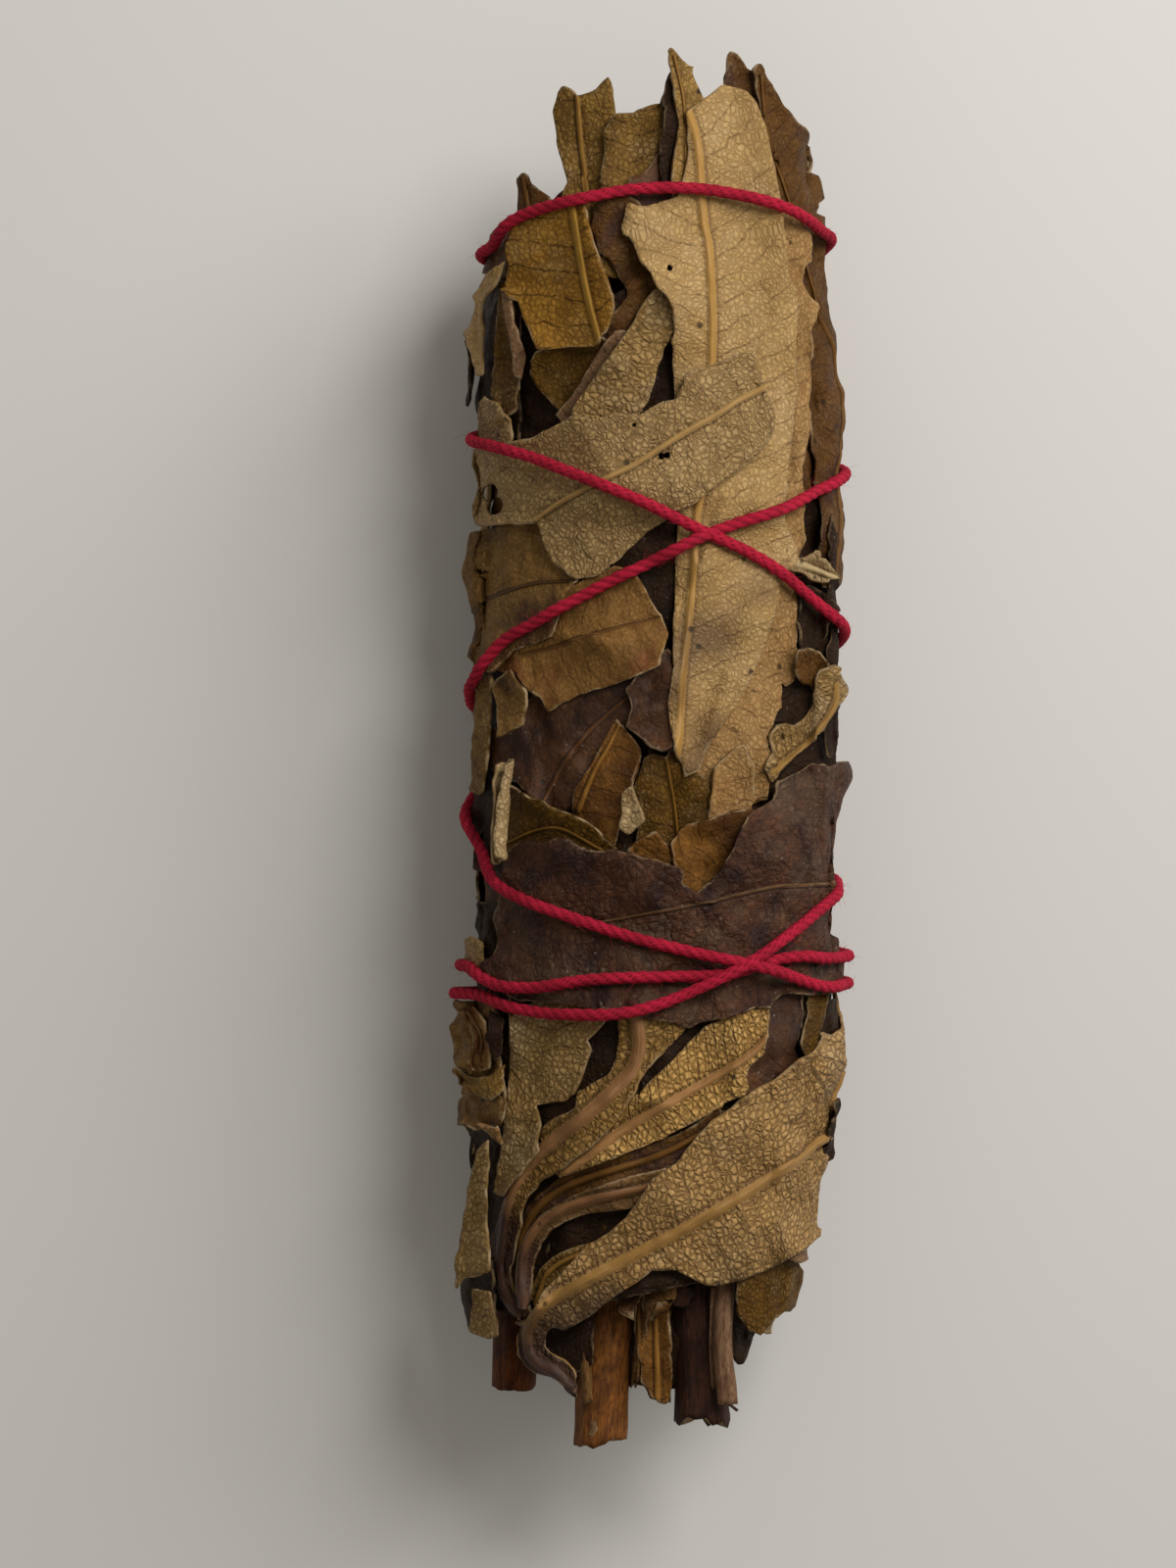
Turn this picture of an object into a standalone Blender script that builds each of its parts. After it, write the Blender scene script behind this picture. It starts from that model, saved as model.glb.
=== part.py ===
"""Smudge stick: dried broad leaves folded round a few cut stems and bound with one red cotton string.

The bundle lies along Y with its leaf tips at +Y and its cut stems at -Y, resting on the plane z = 0.
Every leaf is a thin shell that is laid on the bundle in turn, from the inside out. Each one is draped
over whatever already lies under it. The string is wound on last.
"""

import math
from dataclasses import dataclass

import bmesh
import bpy
import numpy as np

MM = 0.001

# Driving dimensions, in millimetres.
HALF_WIDTH = 13.2  # of the bundle's section, inside the outer leaves
HALF_HEIGHT = 9.3
UNDERSIDE = 3.7  # height of that section's underside over the surface it rests on
LEAF_THICKNESS = 0.45
LEAF_GAP = 0.32  # air between one leaf and the next
MIDDLE_LAYER = 2.4  # height in the leaf stack at which arc lengths are measured
ACROSS_STEP = 3.4  # between a leaf's rows, for what it covers round the bundle
ALONG_STEP = 5.2  # and along it
INNER_THICKNESS = 1.2
INNER_DEPTH = 0.5  # the inner leaves' outer face lies this far inside the section
STRING_DIAMETER = 1.0
STRING_GAP = 0.3
STRING_HEIGHT = 4.0  # over the section, where the route's x is read
STRING_STEP = 3.7  # between the points of the string's route

# The bundle's taper: position along Y, sideways shift of its middle, and scale of its section.
TAPER = (
    (-60, -1.0, 0.88),
    (-46, -1.0, 0.92),
    (-38, -0.6, 0.97),
    (-28, 0.0, 1.0),
    (-12, 0.4, 1.02),
    (6, 0.5, 1.01),
    (24, 0.5, 0.97),
    (40, 0.4, 0.92),
    (60, 0.6, 0.86),
)

COLOURS = {
    "tan": (0.36, 0.23, 0.10),
    "rust": (0.22, 0.11, 0.03),
    "brown": (0.13, 0.065, 0.025),
    "plum": (0.07, 0.03, 0.02),
    "bark": (0.12, 0.04, 0.015),
    "string": (0.42, 0.01, 0.03),
}


@dataclass
class Leaf:
    """A leaf or piece of leaf. Its stations run along its midrib: x and y as seen from above, then how
    far the blade reaches to the left and to the right of the midrib there."""

    name: str
    finish: str
    stations: tuple
    turn: float = 0  # degrees that the leaf is moved round the bundle, from the top towards +X
    lift: tuple = (0, 0)  # how far its first and last ends stand up
    roll: float = 0  # radius that its blade is rolled to, or 0
    rests: bool = False  # its middle is pressed flat on the surface under the bundle


INNER_LEAVES = (
    ("inner_leaf_top", 0, -37, 45),
    ("inner_leaf_right", 90, -38, 42),
    ("inner_leaf_under", 180, -39, 44),
    ("inner_leaf_left", -90, -36, 41),
)

# From the inside out.
LEAVES = (
    # The tips that stand past the top string.
    Leaf("left_tip_leaf", "brown", ((-10.0, 33, 1.6, 1.8), (-10.2, 40, 1.5, 1.9), (-10.2, 44, 1.0, 1.9),
                                    (-10.4, 46.7, 0.3, 0.4))),
    Leaf("deep_left_leaf", "brown", ((-8.0, 21, 3.6, 4), (-7.6, 28, 4.4, 4.5), (-7, 36, 4.2, 3.6),
                                     (-6.4, 43, 2.8, 2.4))),
    Leaf("notched_tip_leaf", "brown", ((-4.9, 36, 2.2, 1.6), (-5.2, 44, 1.8, 1.6), (-5.7, 49.5, 2.1, 2.1),
                                       (-5.9, 53.8, 1.8, 2.5))),
    Leaf("rounded_tip_leaf", "tan", ((-1.6, 35, 2.4, 2.2), (-1.6, 43, 2.6, 1.4), (-1.4, 48, 2.7, 1.8),
                                     (-1.1, 51.6, 2.2, 2.4))),
    Leaf("pointed_tip_leaf", "tan", ((2.9, 36, 1.6, 1.6), (2.9, 45, 1.4, 1.6), (2.8, 51, 1.3, 1.6),
                                     (1.6, 56.9, 0.3, 0.4))),
    # The left side, where the leaves lie edge on to a viewer above.
    Leaf("left_side_leaf_a", "brown", ((-1, -14, 3, 3), (-0.5, -4, 4, 3.6), (0, 8, 4.2, 3.4), (-0.5, 17, 2.6, 2.6)),
         turn=-97),
    Leaf("left_side_leaf_b", "tan", ((1, 14, 3, 2.4), (0, 24, 4.2, 3), (0, 34, 4, 3.2), (0.5, 43, 2.4, 2)),
         turn=-92),
    Leaf("left_side_leaf_c", "brown", ((0, -45, 2.4, 2.2), (0, -37, 3.6, 3), (0.5, -28, 3.4, 3), (0, -21, 2.4, 2)),
         turn=-100),
    # The right side.
    Leaf("right_side_leaf_a", "plum", ((0, -3, 2.6, 3), (0, 8, 3.6, 3.6), (0, 20, 3.8, 3.8), (0, 31, 2.6, 3)),
         turn=96),
    Leaf("right_side_leaf_b", "brown", ((0, 24, 2.4, 3), (0, 34, 3.4, 3.6), (-0.5, 44, 2.8, 2.6), (-1, 50, 1, 1)),
         turn=104),
    Leaf("right_side_leaf_c", "tan", ((0.5, -42, 2.4, 2), (0, -33, 3.4, 3), (-0.5, -24, 3, 3)), turn=98),
    # The underside.
    Leaf("under_leaf_a", "rust", ((-9, -38, 2, 2), (-3, -26, 4.4, 4.2), (2, -14, 4.6, 4.6), (6, -2, 2.4, 2.6)),
         turn=180),
    Leaf("under_leaf_b", "tan", ((9, 4, 2, 2.4), (4, 16, 4.6, 4.4), (-2, 30, 4.4, 4.2), (-5, 42, 2, 2)), turn=180),
    Leaf("under_leaf_c", "brown", ((7, -45, 2, 2.4), (4, -38, 4, 3.6), (5, -30, 3.6, 3), (6, -23.4, 2, 2)), turn=180),
    Leaf("under_leaf_d", "plum", ((-12, 0, 2, 2), (-6, 3, 4.2, 4), (1, 5, 4.4, 4), (8, 4, 2.6, 2.6)), turn=180),
    # Leaves that show only through the gaps between the outer ones.
    Leaf("deep_middle_leaf", "rust", ((-0.5, 8, 4.2, 4), (0, 18, 5, 4.6), (0.2, 28, 4.4, 3.6), (0, 37, 3.2, 2.2))),
    Leaf("plum_leaf", "plum", ((-9.2, -4, 1.6, 2.4), (-6.8, -0.5, 3.6, 3), (-3.6, 2.6, 3.4, 3.2),
                               (0.4, 5.6, 2.6, 2))),
    Leaf("olive_leaf", "rust", ((2.2, -12, 2, 2), (1.8, -6, 2.2, 2.4), (1.8, -1, 1.8, 2.2))),
    Leaf("amber_fold_leaf", "rust", ((-4.4, -10, 1.8, 2), (-4.2, -5, 2.2, 2.2), (-3.2, 0, 2.1, 1.7),
                                     (-1.9, 3, 0.8, 0.8))),
    Leaf("curled_leaf", "tan", ((9.2, -2.6, 2.2, 0.9), (11.4, -0.8, 3.4, 1.1), (13.2, 1.6, 3.2, 1.3),
                                (14.2, 4.6, 1.6, 1.0))),
    Leaf("right_dark_leaf", "brown", ((13.6, 6, 2.4, 2.6), (13.6, 18, 2.4, 3), (13.2, 30, 3, 3.4), (12.2, 40, 3, 3.2),
                                      (10.8, 48, 2.6, 3.0), (8.8, 54.6, 1.9, 1.6))),
    Leaf("right_tan_leaf", "tan", ((8.2, -7, 2.2, 1.6), (8.6, 2, 3.2, 1.6), (9.2, 10, 3.2, 2.4), (10, 20, 3.4, 2.4),
                                   (10.4, 31, 3.4, 2.9), (10.2, 40, 3, 2.8), (9.8, 46, 2, 2.2))),
    # The dark leaves that come round from the left side.
    Leaf("caramel_leaf", "rust", ((-12.2, 6.4, 1.0, 1.6), (-9, 7.6, 2.2, 4.4), (-5, 8.9, 3.2, 4.6),
                                  (-2, 9.8, 3.5, 4.4), (1.2, 10.2, 2.2, 3.2))),
    Leaf("dark_left_leaf", "plum", ((-13.8, 11.5, 4.8, 4), (-12, 12.6, 5, 4.8), (-9.4, 13.4, 4.6, 4.2),
                                    (-7, 13.6, 3.6, 3.4))),
    Leaf("pocket_leaf", "brown", ((-7, 26.4, 2.6, 1.6), (-6.9, 29.5, 2.7, 2.4), (-6.9, 32.4, 2.5, 2.2))),
    Leaf("rust_leaf", "rust", ((-4.1, 32.6, 5.4, 0.8), (-4.9, 36, 6.2, 1.8), (-5.7, 40, 6.0, 2.0),
                               (-6.4, 43.6, 4.6, 2.4))),
    Leaf("fold_leaf", "tan", ((-4.2, 25.6, 2.2, 2.2), (-2, 29.3, 1.9, 1.9), (-0.5, 32.4, 1.7, 1.7),
                              (0.9, 37, 1.1, 1.1))),
    Leaf("long_leaf", "tan", ((1.9, -1.6, 0.5, 1.4), (2.3, 3, 0.6, 4.4), (3.2, 9.5, 0.7, 6.4), (3.8, 16, 1.2, 6.9),
                              (4.4, 23, 2.6, 7.1), (4.8, 30, 2.8, 7.2), (5.0, 36.5, 3.9, 6.9),
                              (4.8, 40.5, 6.2, 6.4), (4.4, 43.2, 6.5, 6.4), (4.1, 46, 1.5, 6.2),
                              (3.6, 50, 0.5, 6.0), (4.4, 53.4, 0.8, 4.2))),
    Leaf("lobe_leaf", "tan", ((-7, 14, 1.0, 0.9), (-5.4, 16.6, 3.0, 2.7), (-2.4, 18.8, 2.8, 2.6),
                              (1, 20.8, 2.2, 2.2))),
    Leaf("mid_leaf", "tan", ((-13.8, 21.6, 3.4, 3.2), (-9.4, 21.6, 3.2, 2.6), (-4, 22, 4.4, 2.6),
                             (0, 23.7, 3.6, 4.4), (4, 26.1, 3.6, 4.9), (7.2, 28, 3.4, 4.3),
                             (9.5, 29.2, 1.6, 2.8)), lift=(0, 0.3)),
    # The pieces above and under the broad dark leaf.
    Leaf("tan_fragment", "tan", ((6.3, -6.5, 1.5, 1.5), (6.6, -3, 1.5, 1.6), (7.3, 0.2, 0.5, 0.5)), lift=(0, 0.4)),
    Leaf("tucked_left_leaf", "rust", ((-12.8, -5.6, 2.4, 3), (-8, -7.2, 2.6, 3), (-3.2, -9, 1.5, 2.6))),
    Leaf("tucked_right_leaf", "rust", ((1.4, -8.8, 1.6, 2.6), (5, -7.6, 1.9, 3), (9, -6, 1.6, 3))),
    # The ribbed leaves that are folded up from the stems.
    Leaf("dark_rib_leaf", "plum", ((-10.8, -45.6, 0.6, 0.6), (-10.6, -41, 0.9, 0.9), (-8.4, -37.4, 1.1, 1.1),
                                   (-4.6, -35.1, 1.1, 1.2), (0, -33.4, 1.2, 1.4), (5, -30.2, 1.2, 1.8))),
    Leaf("ribbed_leaf_b", "tan", ((-7.2, -35.6, 0.5, 0.5), (-4, -32.8, 1.3, 1.2), (-1.4, -31, 2.5, 1.7),
                                  (2, -28.7, 3.4, 2.2), (5.5, -26.3, 3.5, 2.6), (9.4, -23.2, 2.6, 2.2))),
    Leaf("ribbed_leaf_a", "tan", ((-11.4, -46, 0.6, 0.6), (-12.7, -42, 0.8, 0.8), (-12.1, -38, 0.9, 1.0),
                                  (-10, -34.7, 1.1, 1.7), (-7, -31.9, 1.6, 2.4), (-4, -29.3, 1.8, 2.6),
                                  (-1.7, -26.3, 1.7, 2.8), (-1.2, -20.6, 1.8, 4))),
    Leaf("pink_rib_leaf", "rust", ((-10.2, -44.6, 0.7, 0.7), (-9.9, -41, 0.8, 0.8), (-8, -38.3, 0.9, 1.0),
                                   (-5, -36.7, 1.1, 1.2), (-1, -35.6, 1.0, 1.8), (2.4, -34.6, 0.9, 1.6))),
    Leaf("rough_tan_leaf", "tan", ((-12.6, -36.4, 0.6, 0.6), (-11.2, -33, 1.3, 1.7), (-10.4, -30, 1.6, 1.3),
                                   (-9, -27, 2.6, 2.6), (-8.4, -24, 3.2, 3.3), (-7.6, -20.4, 3.8, 3.8))),
    Leaf("crumpled_leaf", "brown", ((-14.2, -32, 1.6, 1.8), (-14.3, -28, 2.2, 2.2), (-14.1, -24.6, 2, 1.8),
                                    (-13.8, -21.6, 1.8, 1.8)), lift=(0.5, 0)),
    Leaf("end_leaf", "brown", ((8.6, -37, 2, 2), (9.2, -42, 2.2, 2.4), (9.6, -45.6, 2.6, 2.6),
                               (9.4, -48, 1.7, 1.4))),
    Leaf("big_leaf", "tan", ((-6.4, -52.6, 0.5, 0.5), (-9.4, -51, 0.7, 0.7), (-10.8, -48.6, 0.8, 0.8),
                             (-9.3, -46, 1.1, 1.1), (-6, -44.1, 2.0, 1.9), (-2, -41.6, 2.7, 1.9),
                             (2, -39.2, 4.2, 3.4), (6, -37, 5.6, 6.4), (10, -35.1, 6.7, 6.9),
                          (13.2, -32.8, 7.2, 5.0), (14.6, -29.4, 5.4, 3.0), (14.6, -25, 3.0, 2.2))),
    Leaf("wrap_leaf", "plum", ((-12.4, -15.6, 2.2, 3.0), (-8, -14.6, 6.3, 5.6), (-3, -13.9, 5.4, 6.8),
                               (0.8, -13.4, 3.8, 8), (3.8, -12.6, 1.8, 8.8), (7, -11.7, 4.8, 9),
                               (10, -11.2, 6.9, 8.6), (13, -11, 9.2, 7.2), (15.2, -10.8, 9.2, 5.6))),
    Leaf("speckled_roll", "tan", ((-12.6, -9.8, 1.7, 1.7), (-12.6, -6, 1.9, 1.9), (-12.5, -1, 1.5, 1.5)), roll=0.7),
    Leaf("rolled_leaf", "tan", ((-13.4, -34.4, 2.2, 2.2), (-13.6, -41, 3.2, 3.2), (-13.6, -48, 3.4, 3.4)), roll=1.3),
    # The leaves that the bundle rests on.
    Leaf("rest_leaf_tips", "tan", ((-0.5, 8.6, 4, 4), (0, 14, 5.4, 5.4), (0.5, 19, 5.2, 5.2), (0.5, 24.4, 3.6, 3.6)),
         turn=180, rests=True),
    Leaf("rest_leaf_middle", "brown", ((-1, -15.6, 3, 3), (0, -11.6, 5, 5), (0.5, -7.8, 3.4, 3.4)), turn=180,
         rests=True),
    Leaf("rest_leaf_stems", "rust", ((0.5, -45, 2.6, 2.6), (0, -38, 4.8, 4.8), (-0.5, -31, 5.2, 5.2),
                                     (-0.5, -24.6, 3.4, 3.4)), turn=180, rests=True),
)

# Each stem's radius, and its route from the cut end up into the bundle: x, y and z.
STEMS = (
    ("stem_left", 1.7, ((-11.2, -52.6, 12.4), (-11.0, -47, 12.6), (-8.6, -40, 13.2), (-6.4, -32, 13.4),
                        (-6.2, 10, 13.4), (-6, 34, 13.4))),
    ("stem_middle", 2.05, ((-4.2, -56.9, 16.6), (-3.4, -47, 16.2), (-2.6, -36, 15.9), (-2.3, -20, 15.7),
                           (-2.2, 36, 15.7))),
    ("stem_right", 2.1, ((4.1, -54.9, 16.2), (3.8, -46, 16.0), (2.9, -36, 15.8), (2.3, -20, 15.7), (2.3, 33, 15.7))),
    ("stem_under_left", 1.7, ((-6.4, -51.4, 9.6), (-4.6, -44, 10.2), (-2.6, -34, 10.9), (-2.2, 38, 11.3))),
    ("stem_under_right", 1.75, ((0.6, -52.6, 9.2), (1.6, -44, 10.2), (2.3, -34, 10.9), (2.2, 31, 11.3))),
    ("stem_thin", 0.8, ((6.3, -53.6, 18.8), (5.9, -48, 18.6), (6.2, -42, 17.8), (7.2, -30, 14.4), (7.5, 22, 13.6))),
)

# The string's route, from the end that lies under the other turns: x, y, and the face of the bundle
# that it crosses there.
TOP, UNDER = 1, -1
STRING_ROUTE = (
    (12.4, -16.2, UNDER), (14.8, -16.9, UNDER), (14.6, -17.3, TOP), (12.4, -17.0, TOP), (9.4, -17.4, TOP),
    (6.0, -18.5, TOP), (1.0, -18.6, TOP), (-5.0, -18.8, TOP), (-9.6, -19.6, TOP), (-12.4, -19.55, TOP),
    (-15.0, -17.9, TOP), (-14.2, -18.0, UNDER), (-6.0, -18.6, UNDER), (3.0, -18.6, UNDER),
    (9.6, -18.4, UNDER), (14.4, -19.2, UNDER), (14.2, -19.6, TOP), (11.4, -18.6, TOP), (8.0, -17.6, TOP),
    (3.6, -16.7, TOP), (-2.0, -15.3, TOP), (-8.0, -13.3, TOP), (-12.8, -11.2, TOP), (-14.6, -7.2, TOP),
    (-14.4, -3.6, UNDER), (-11.8, 2.4, UNDER), (-7.0, 2.6, UNDER), (-3.0, 2.6, UNDER), (3.0, 4.3, UNDER),
    (10.0, 6.3, UNDER), (15.0, 8.2, UNDER), (14.8, 10.6, TOP), (12.0, 13.1, TOP), (8.0, 15.7, TOP),
    (4.0, 17.4, TOP), (0, 19.4, TOP), (-6, 21.9, TOP), (-11.6, 24.1, TOP), (-14.4, 25.0, TOP),
    (-13.6, 26.0, UNDER), (-7.0, 26.9, UNDER), (0, 28.0, UNDER), (7.5, 30.4, UNDER), (11.6, 34.4, UNDER),
    (14.0, 40.6, UNDER), (12.4, 43.2, TOP), (8.6, 44.5, TOP), (3.5, 45.2, TOP), (0, 45.2, TOP),
    (-5.5, 44.3, TOP), (-10.8, 43.1, TOP), (-13.0, 41.2, TOP), (-12.8, 39.8, UNDER), (-8.0, 38.0, UNDER),
    (-2.0, 36.4, UNDER), (5.0, 34.4, UNDER), (10.5, 30.5, UNDER), (14.6, 24.0, UNDER), (14.2, 21.2, TOP),
    (11.0, 19.4, TOP), (7.4, 18.2, TOP), (4.0, 16.9, TOP), (0, 14.9, TOP), (-4.0, 13.0, TOP),
    (-8.8, 10.4, TOP), (-12.2, 8.5, TOP), (-14.2, 6.0, TOP), (-14.4, 3.2, UNDER), (-11.0, 1.2, UNDER),
    (-5.0, -1.4, UNDER), (2.0, -4.0, UNDER), (9.0, -7.2, UNDER), (14.6, -10.4, UNDER), (14.2, -13.0, TOP),
    (11.2, -15.2, TOP), (8.6, -17.1, TOP), (5.0, -19.0, TOP), (0.5, -20.9, TOP), (-3.5, -21.7, TOP),
    (-9.0, -21.6, TOP), (-12.2, -20.95, TOP), (-15.0, -20.2, TOP), (-13.2, -20.3, UNDER),
    (-8.0, -20.7, UNDER), (-2.0, -20.9, UNDER), (4.0, -20.9, UNDER), (9.0, -20.4, UNDER),
)
CROSSING_SKIP = 5  # points of the string that its next ones may lie close to


# --- The bundle's section ---------------------------------------------------------------------------


def section(angle):
    """x and z of the bare section, and its outward normal, at an angle from the top towards +X. Its top
    is half an ellipse, and its underside is flattened."""
    sine, cosine = np.sin(angle), np.cos(angle)
    lower = np.clip(-cosine, 0, 1) * math.pi / 2
    x = HALF_WIDTH * sine
    z = np.where(cosine >= 0, HALF_HEIGHT * cosine, -HALF_HEIGHT * np.sin(lower))
    along_x = HALF_WIDTH * cosine
    along_z = -HALF_HEIGHT * sine * np.where(cosine >= 0, 1, math.pi / 2 * np.cos(lower))
    length = np.hypot(along_x, along_z)
    return x, z, -along_z / length, along_x / length


def taper(y):
    """The sideways shift and the scale of the section at y."""
    table = np.array(TAPER)
    return np.interp(y, table[:, 0], table[:, 1]), np.interp(y, table[:, 0], table[:, 2])


def place(angle, y, height):
    """The point at a height over the section, as an array with x, y and z last."""
    x, z, normal_x, normal_z = section(angle)
    shift, scale = taper(y)
    return np.stack(
        (
            shift + scale * x + height * normal_x,
            y + 0 * x,
            UNDERSIDE + scale * (z + HALF_HEIGHT) + height * normal_z,
        ),
        axis=-1,
    )


def measured_section():
    """Angles all round, twice over, with the arc length of the middle layer at each."""
    angles = np.radians(np.arange(-360, 360.5, 0.5))
    x, z, normal_x, normal_z = section(angles)
    steps = np.hypot(np.diff(x + MIDDLE_LAYER * normal_x), np.diff(z + MIDDLE_LAYER * normal_z))
    arc = np.concatenate([[0], np.cumsum(steps)])
    return angles, arc - np.interp(0, angles, arc)


ANGLES, ARCS = measured_section()
TOP_ANGLES = ANGLES[np.abs(ANGLES) <= math.pi / 2]


def angle_at(x, y, height, face=1):
    """The angle at which something at this height has this x, on the top face or the underside (-1)."""
    base_x, _, normal_x, _ = section(TOP_ANGLES)
    shift, scale = taper(y)
    found = [np.interp(a - b, c * base_x + h * normal_x, TOP_ANGLES)
             for a, b, c, h in zip(x, shift, scale, height + 0 * x, strict=True)]
    return np.where(face > 0, found, math.pi - np.array(found))


def arc_at(angle, y):
    return np.interp(angle, ANGLES, ARCS) * taper(y)[1]


def angle_of_arc(arc, y):
    return np.interp(arc / taper(y)[1], ARCS, ANGLES)


# --- Curves through a few points --------------------------------------------------------------------


def smooth_curve(points, at):
    """A curve through the points that never swings past them, read at shares of its length from 0 to 1."""
    points = np.asarray(points, float)
    lengths = np.linalg.norm(np.diff(points[:, :2], axis=0), axis=1)
    knots = np.concatenate([[0], np.cumsum(lengths)]) / lengths.sum()
    secants = np.diff(points, axis=0) / np.diff(knots)[:, None]
    product = secants[:-1] * secants[1:]
    total = np.where(product > 0, secants[:-1] + secants[1:], 1)
    slopes = np.concatenate([secants[:1], np.where(product > 0, 2 * product / total, 0), secants[-1:]])
    i = np.clip(np.searchsorted(knots, at, side="right") - 1, 0, len(knots) - 2)
    width = (knots[i + 1] - knots[i])[:, None]
    t = ((at - knots[i]) / width[:, 0])[:, None]
    return (
        (2 * t**3 - 3 * t**2 + 1) * points[i]
        + (t**3 - 2 * t**2 + t) * width * slopes[i]
        + (3 * t**2 - 2 * t**3) * points[i + 1]
        + (t**3 - t**2) * width * slopes[i + 1]
    )


def lattice(leaf, rows, columns, height=MIDDLE_LAYER):
    """The angle, the y and the rise over its own middle of a leaf's points, rows along and columns across.
    The height of its stations over the section can be given."""
    stations = np.array(leaf.stations, float)
    angle = angle_at(stations[:, 0], stations[:, 1], height) + math.radians(leaf.turn)
    stations[:, 0] = arc_at(angle, stations[:, 1])
    line = smooth_curve(stations, np.linspace(0, 1, rows + 1))
    along = np.gradient(line[:, :2], axis=0)
    along /= np.linalg.norm(along, axis=1)[:, None]
    across = np.linspace(-1, 1, columns + 1)
    reach = np.where(across < 0, across * line[:, 2:3], across * line[:, 3:4])
    rise = np.zeros_like(reach)
    if leaf.roll:
        turned = np.clip(reach / leaf.roll, -2.7, 2.7)
        reach = leaf.roll * np.sin(turned)
        rise = leaf.roll * (1 - np.cos(turned))
    arc = line[:, :1] + reach * along[:, 1:]
    y = line[:, 1:2] - reach * along[:, :1]
    return angle_of_arc(arc, y), y, rise


# --- Laying leaves on the bundle --------------------------------------------------------------------


class Stack:
    """How high the leaves reach over the section so far, on a grid of angle and y."""

    ANGLE_STEP = math.radians(1.5)
    Y_STEP = 0.5
    Y_START = -62

    def __init__(self):
        self.top = np.zeros((int(math.tau / self.ANGLE_STEP), int(124 / self.Y_STEP)))

    def cells(self, angle, y):
        across = np.round(angle / self.ANGLE_STEP).astype(int) % self.top.shape[0]
        along = np.clip(np.round((y - self.Y_START) / self.Y_STEP).astype(int), 1, self.top.shape[1] - 2)
        return across, along

    def height(self, angle, y):
        """The highest thing within a cell of each point."""
        across, along = self.cells(angle, y)
        around = [
            self.top[(across + i) % self.top.shape[0], along + j] for i in (-1, 0, 1) for j in (-1, 0, 1)
        ]
        return np.max(around, axis=0)

    def add(self, angle, y, height):
        np.maximum.at(self.top, self.cells(angle, y), height)


SHARES = np.linspace(0, 1, 11)


def samples(values):
    """A lattice's values at points spread over each of its quads, and each corner's weight at them."""
    s, t = np.meshgrid(SHARES, SHARES, indexing="ij")
    weights = np.stack([(1 - s) * (1 - t), s * (1 - t), (1 - s) * t, s * t])
    corners = np.stack([values[:-1, :-1], values[1:, :-1], values[:-1, 1:], values[1:, 1:]])
    return np.einsum("cij,cst->ijst", corners, weights), weights


def raise_over(needed, height):
    """Raises a lattice's heights, little by little, until no point of its quads is lower than needed."""
    for _ in range(60):
        found, weights = samples(height)
        short = np.clip(needed - found, 0, None)
        if short.max() < 0.02:
            break
        lifts = (0.5 * short[None] * (weights / (weights**2).sum(0))[:, None, None]).max(axis=(3, 4))
        lift = np.zeros_like(height)
        for corner, (i, j) in enumerate(((0, 0), (1, 0), (0, 1), (1, 1))):
            part = lift[i : i + lifts.shape[1], j : j + lifts.shape[2]]
            np.maximum(part, lifts[corner], out=part)
        height = height + lift
    return height


def end_lift(leaf, rows):
    """How far each row stands up because of the leaf's lifted ends."""
    share = np.linspace(0, 1, rows + 1)
    first = np.clip(1 - share / 0.4, 0, 1) ** 2
    last = np.clip(1 - (1 - share) / 0.4, 0, 1) ** 2
    return (leaf.lift[0] * first + leaf.lift[1] * last)[:, None]


def resting_height(angle, y):
    """The height over the section at which a point touches the surface under the bundle."""
    _, z, _, normal_z = section(angle)
    return (UNDERSIDE + taper(y)[1] * (z + HALF_HEIGHT)) / -normal_z


def leaf_size(leaf):
    """How many rows and columns a leaf's coarse shell takes. It takes more where it bends round the bundle."""
    stations = np.array(leaf.stations, float)
    across, along = np.abs(np.diff(stations[:, :2], axis=0)).sum(axis=0)
    width = (stations[:, 2] + stations[:, 3]).max()
    columns = 8 if leaf.roll else 4 if width > 5 else 2
    return max(3, round(across / ACROSS_STEP + along / ALONG_STEP)), columns


def lay(leaf, stack):
    """The points of a leaf's outer face, once it lies on the stack, and adds it to the stack."""
    rows, columns = leaf_size(leaf)
    stations = np.array(leaf.stations, float)
    start = angle_at(stations[:, 0], stations[:, 1], MIDDLE_LAYER) + math.radians(leaf.turn)
    own_height = stack.height(start, stations[:, 1]) + LEAF_GAP + LEAF_THICKNESS + leaf.roll
    angle, y, rise = lattice(leaf, rows, columns, own_height)
    sampled_angle, _ = samples(angle)
    sampled_y, _ = samples(y)
    needed = stack.height(sampled_angle, sampled_y) + LEAF_GAP + LEAF_THICKNESS
    height = raise_over(needed, stack.height(angle, y) + LEAF_GAP + LEAF_THICKNESS)
    if leaf.roll:
        height = height.max(axis=1, keepdims=True) + rise
    else:
        height = height + end_lift(leaf, rows)
    if leaf.rests:
        share = np.linspace(0, 1, rows + 1)[:, None]
        pressed = np.clip(3 - 6 * np.abs(share - 0.5), 0, 1)
        height = height + pressed * (np.maximum(resting_height(angle, y), height) - height)
    sampled_height, _ = samples(height)
    stack.add(sampled_angle.ravel(), sampled_y.ravel(), sampled_height.ravel())
    return place(angle, y, height)


# --- Blender objects --------------------------------------------------------------------------------


def clear_scene():
    for thing in list(bpy.data.objects):
        bpy.data.objects.remove(thing)


def make_material(name, roughness):
    material = bpy.data.materials.new(name)
    material.use_nodes = True
    shader = material.node_tree.nodes["Principled BSDF"]
    shader.inputs["Base Color"].default_value = (*COLOURS[name], 1)
    shader.inputs["Roughness"].default_value = roughness
    return material


def add_object(name, data, material, collection):
    data.materials.append(material)
    thing = bpy.data.objects.new(name, data)
    collection.objects.link(thing)
    return thing


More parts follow.
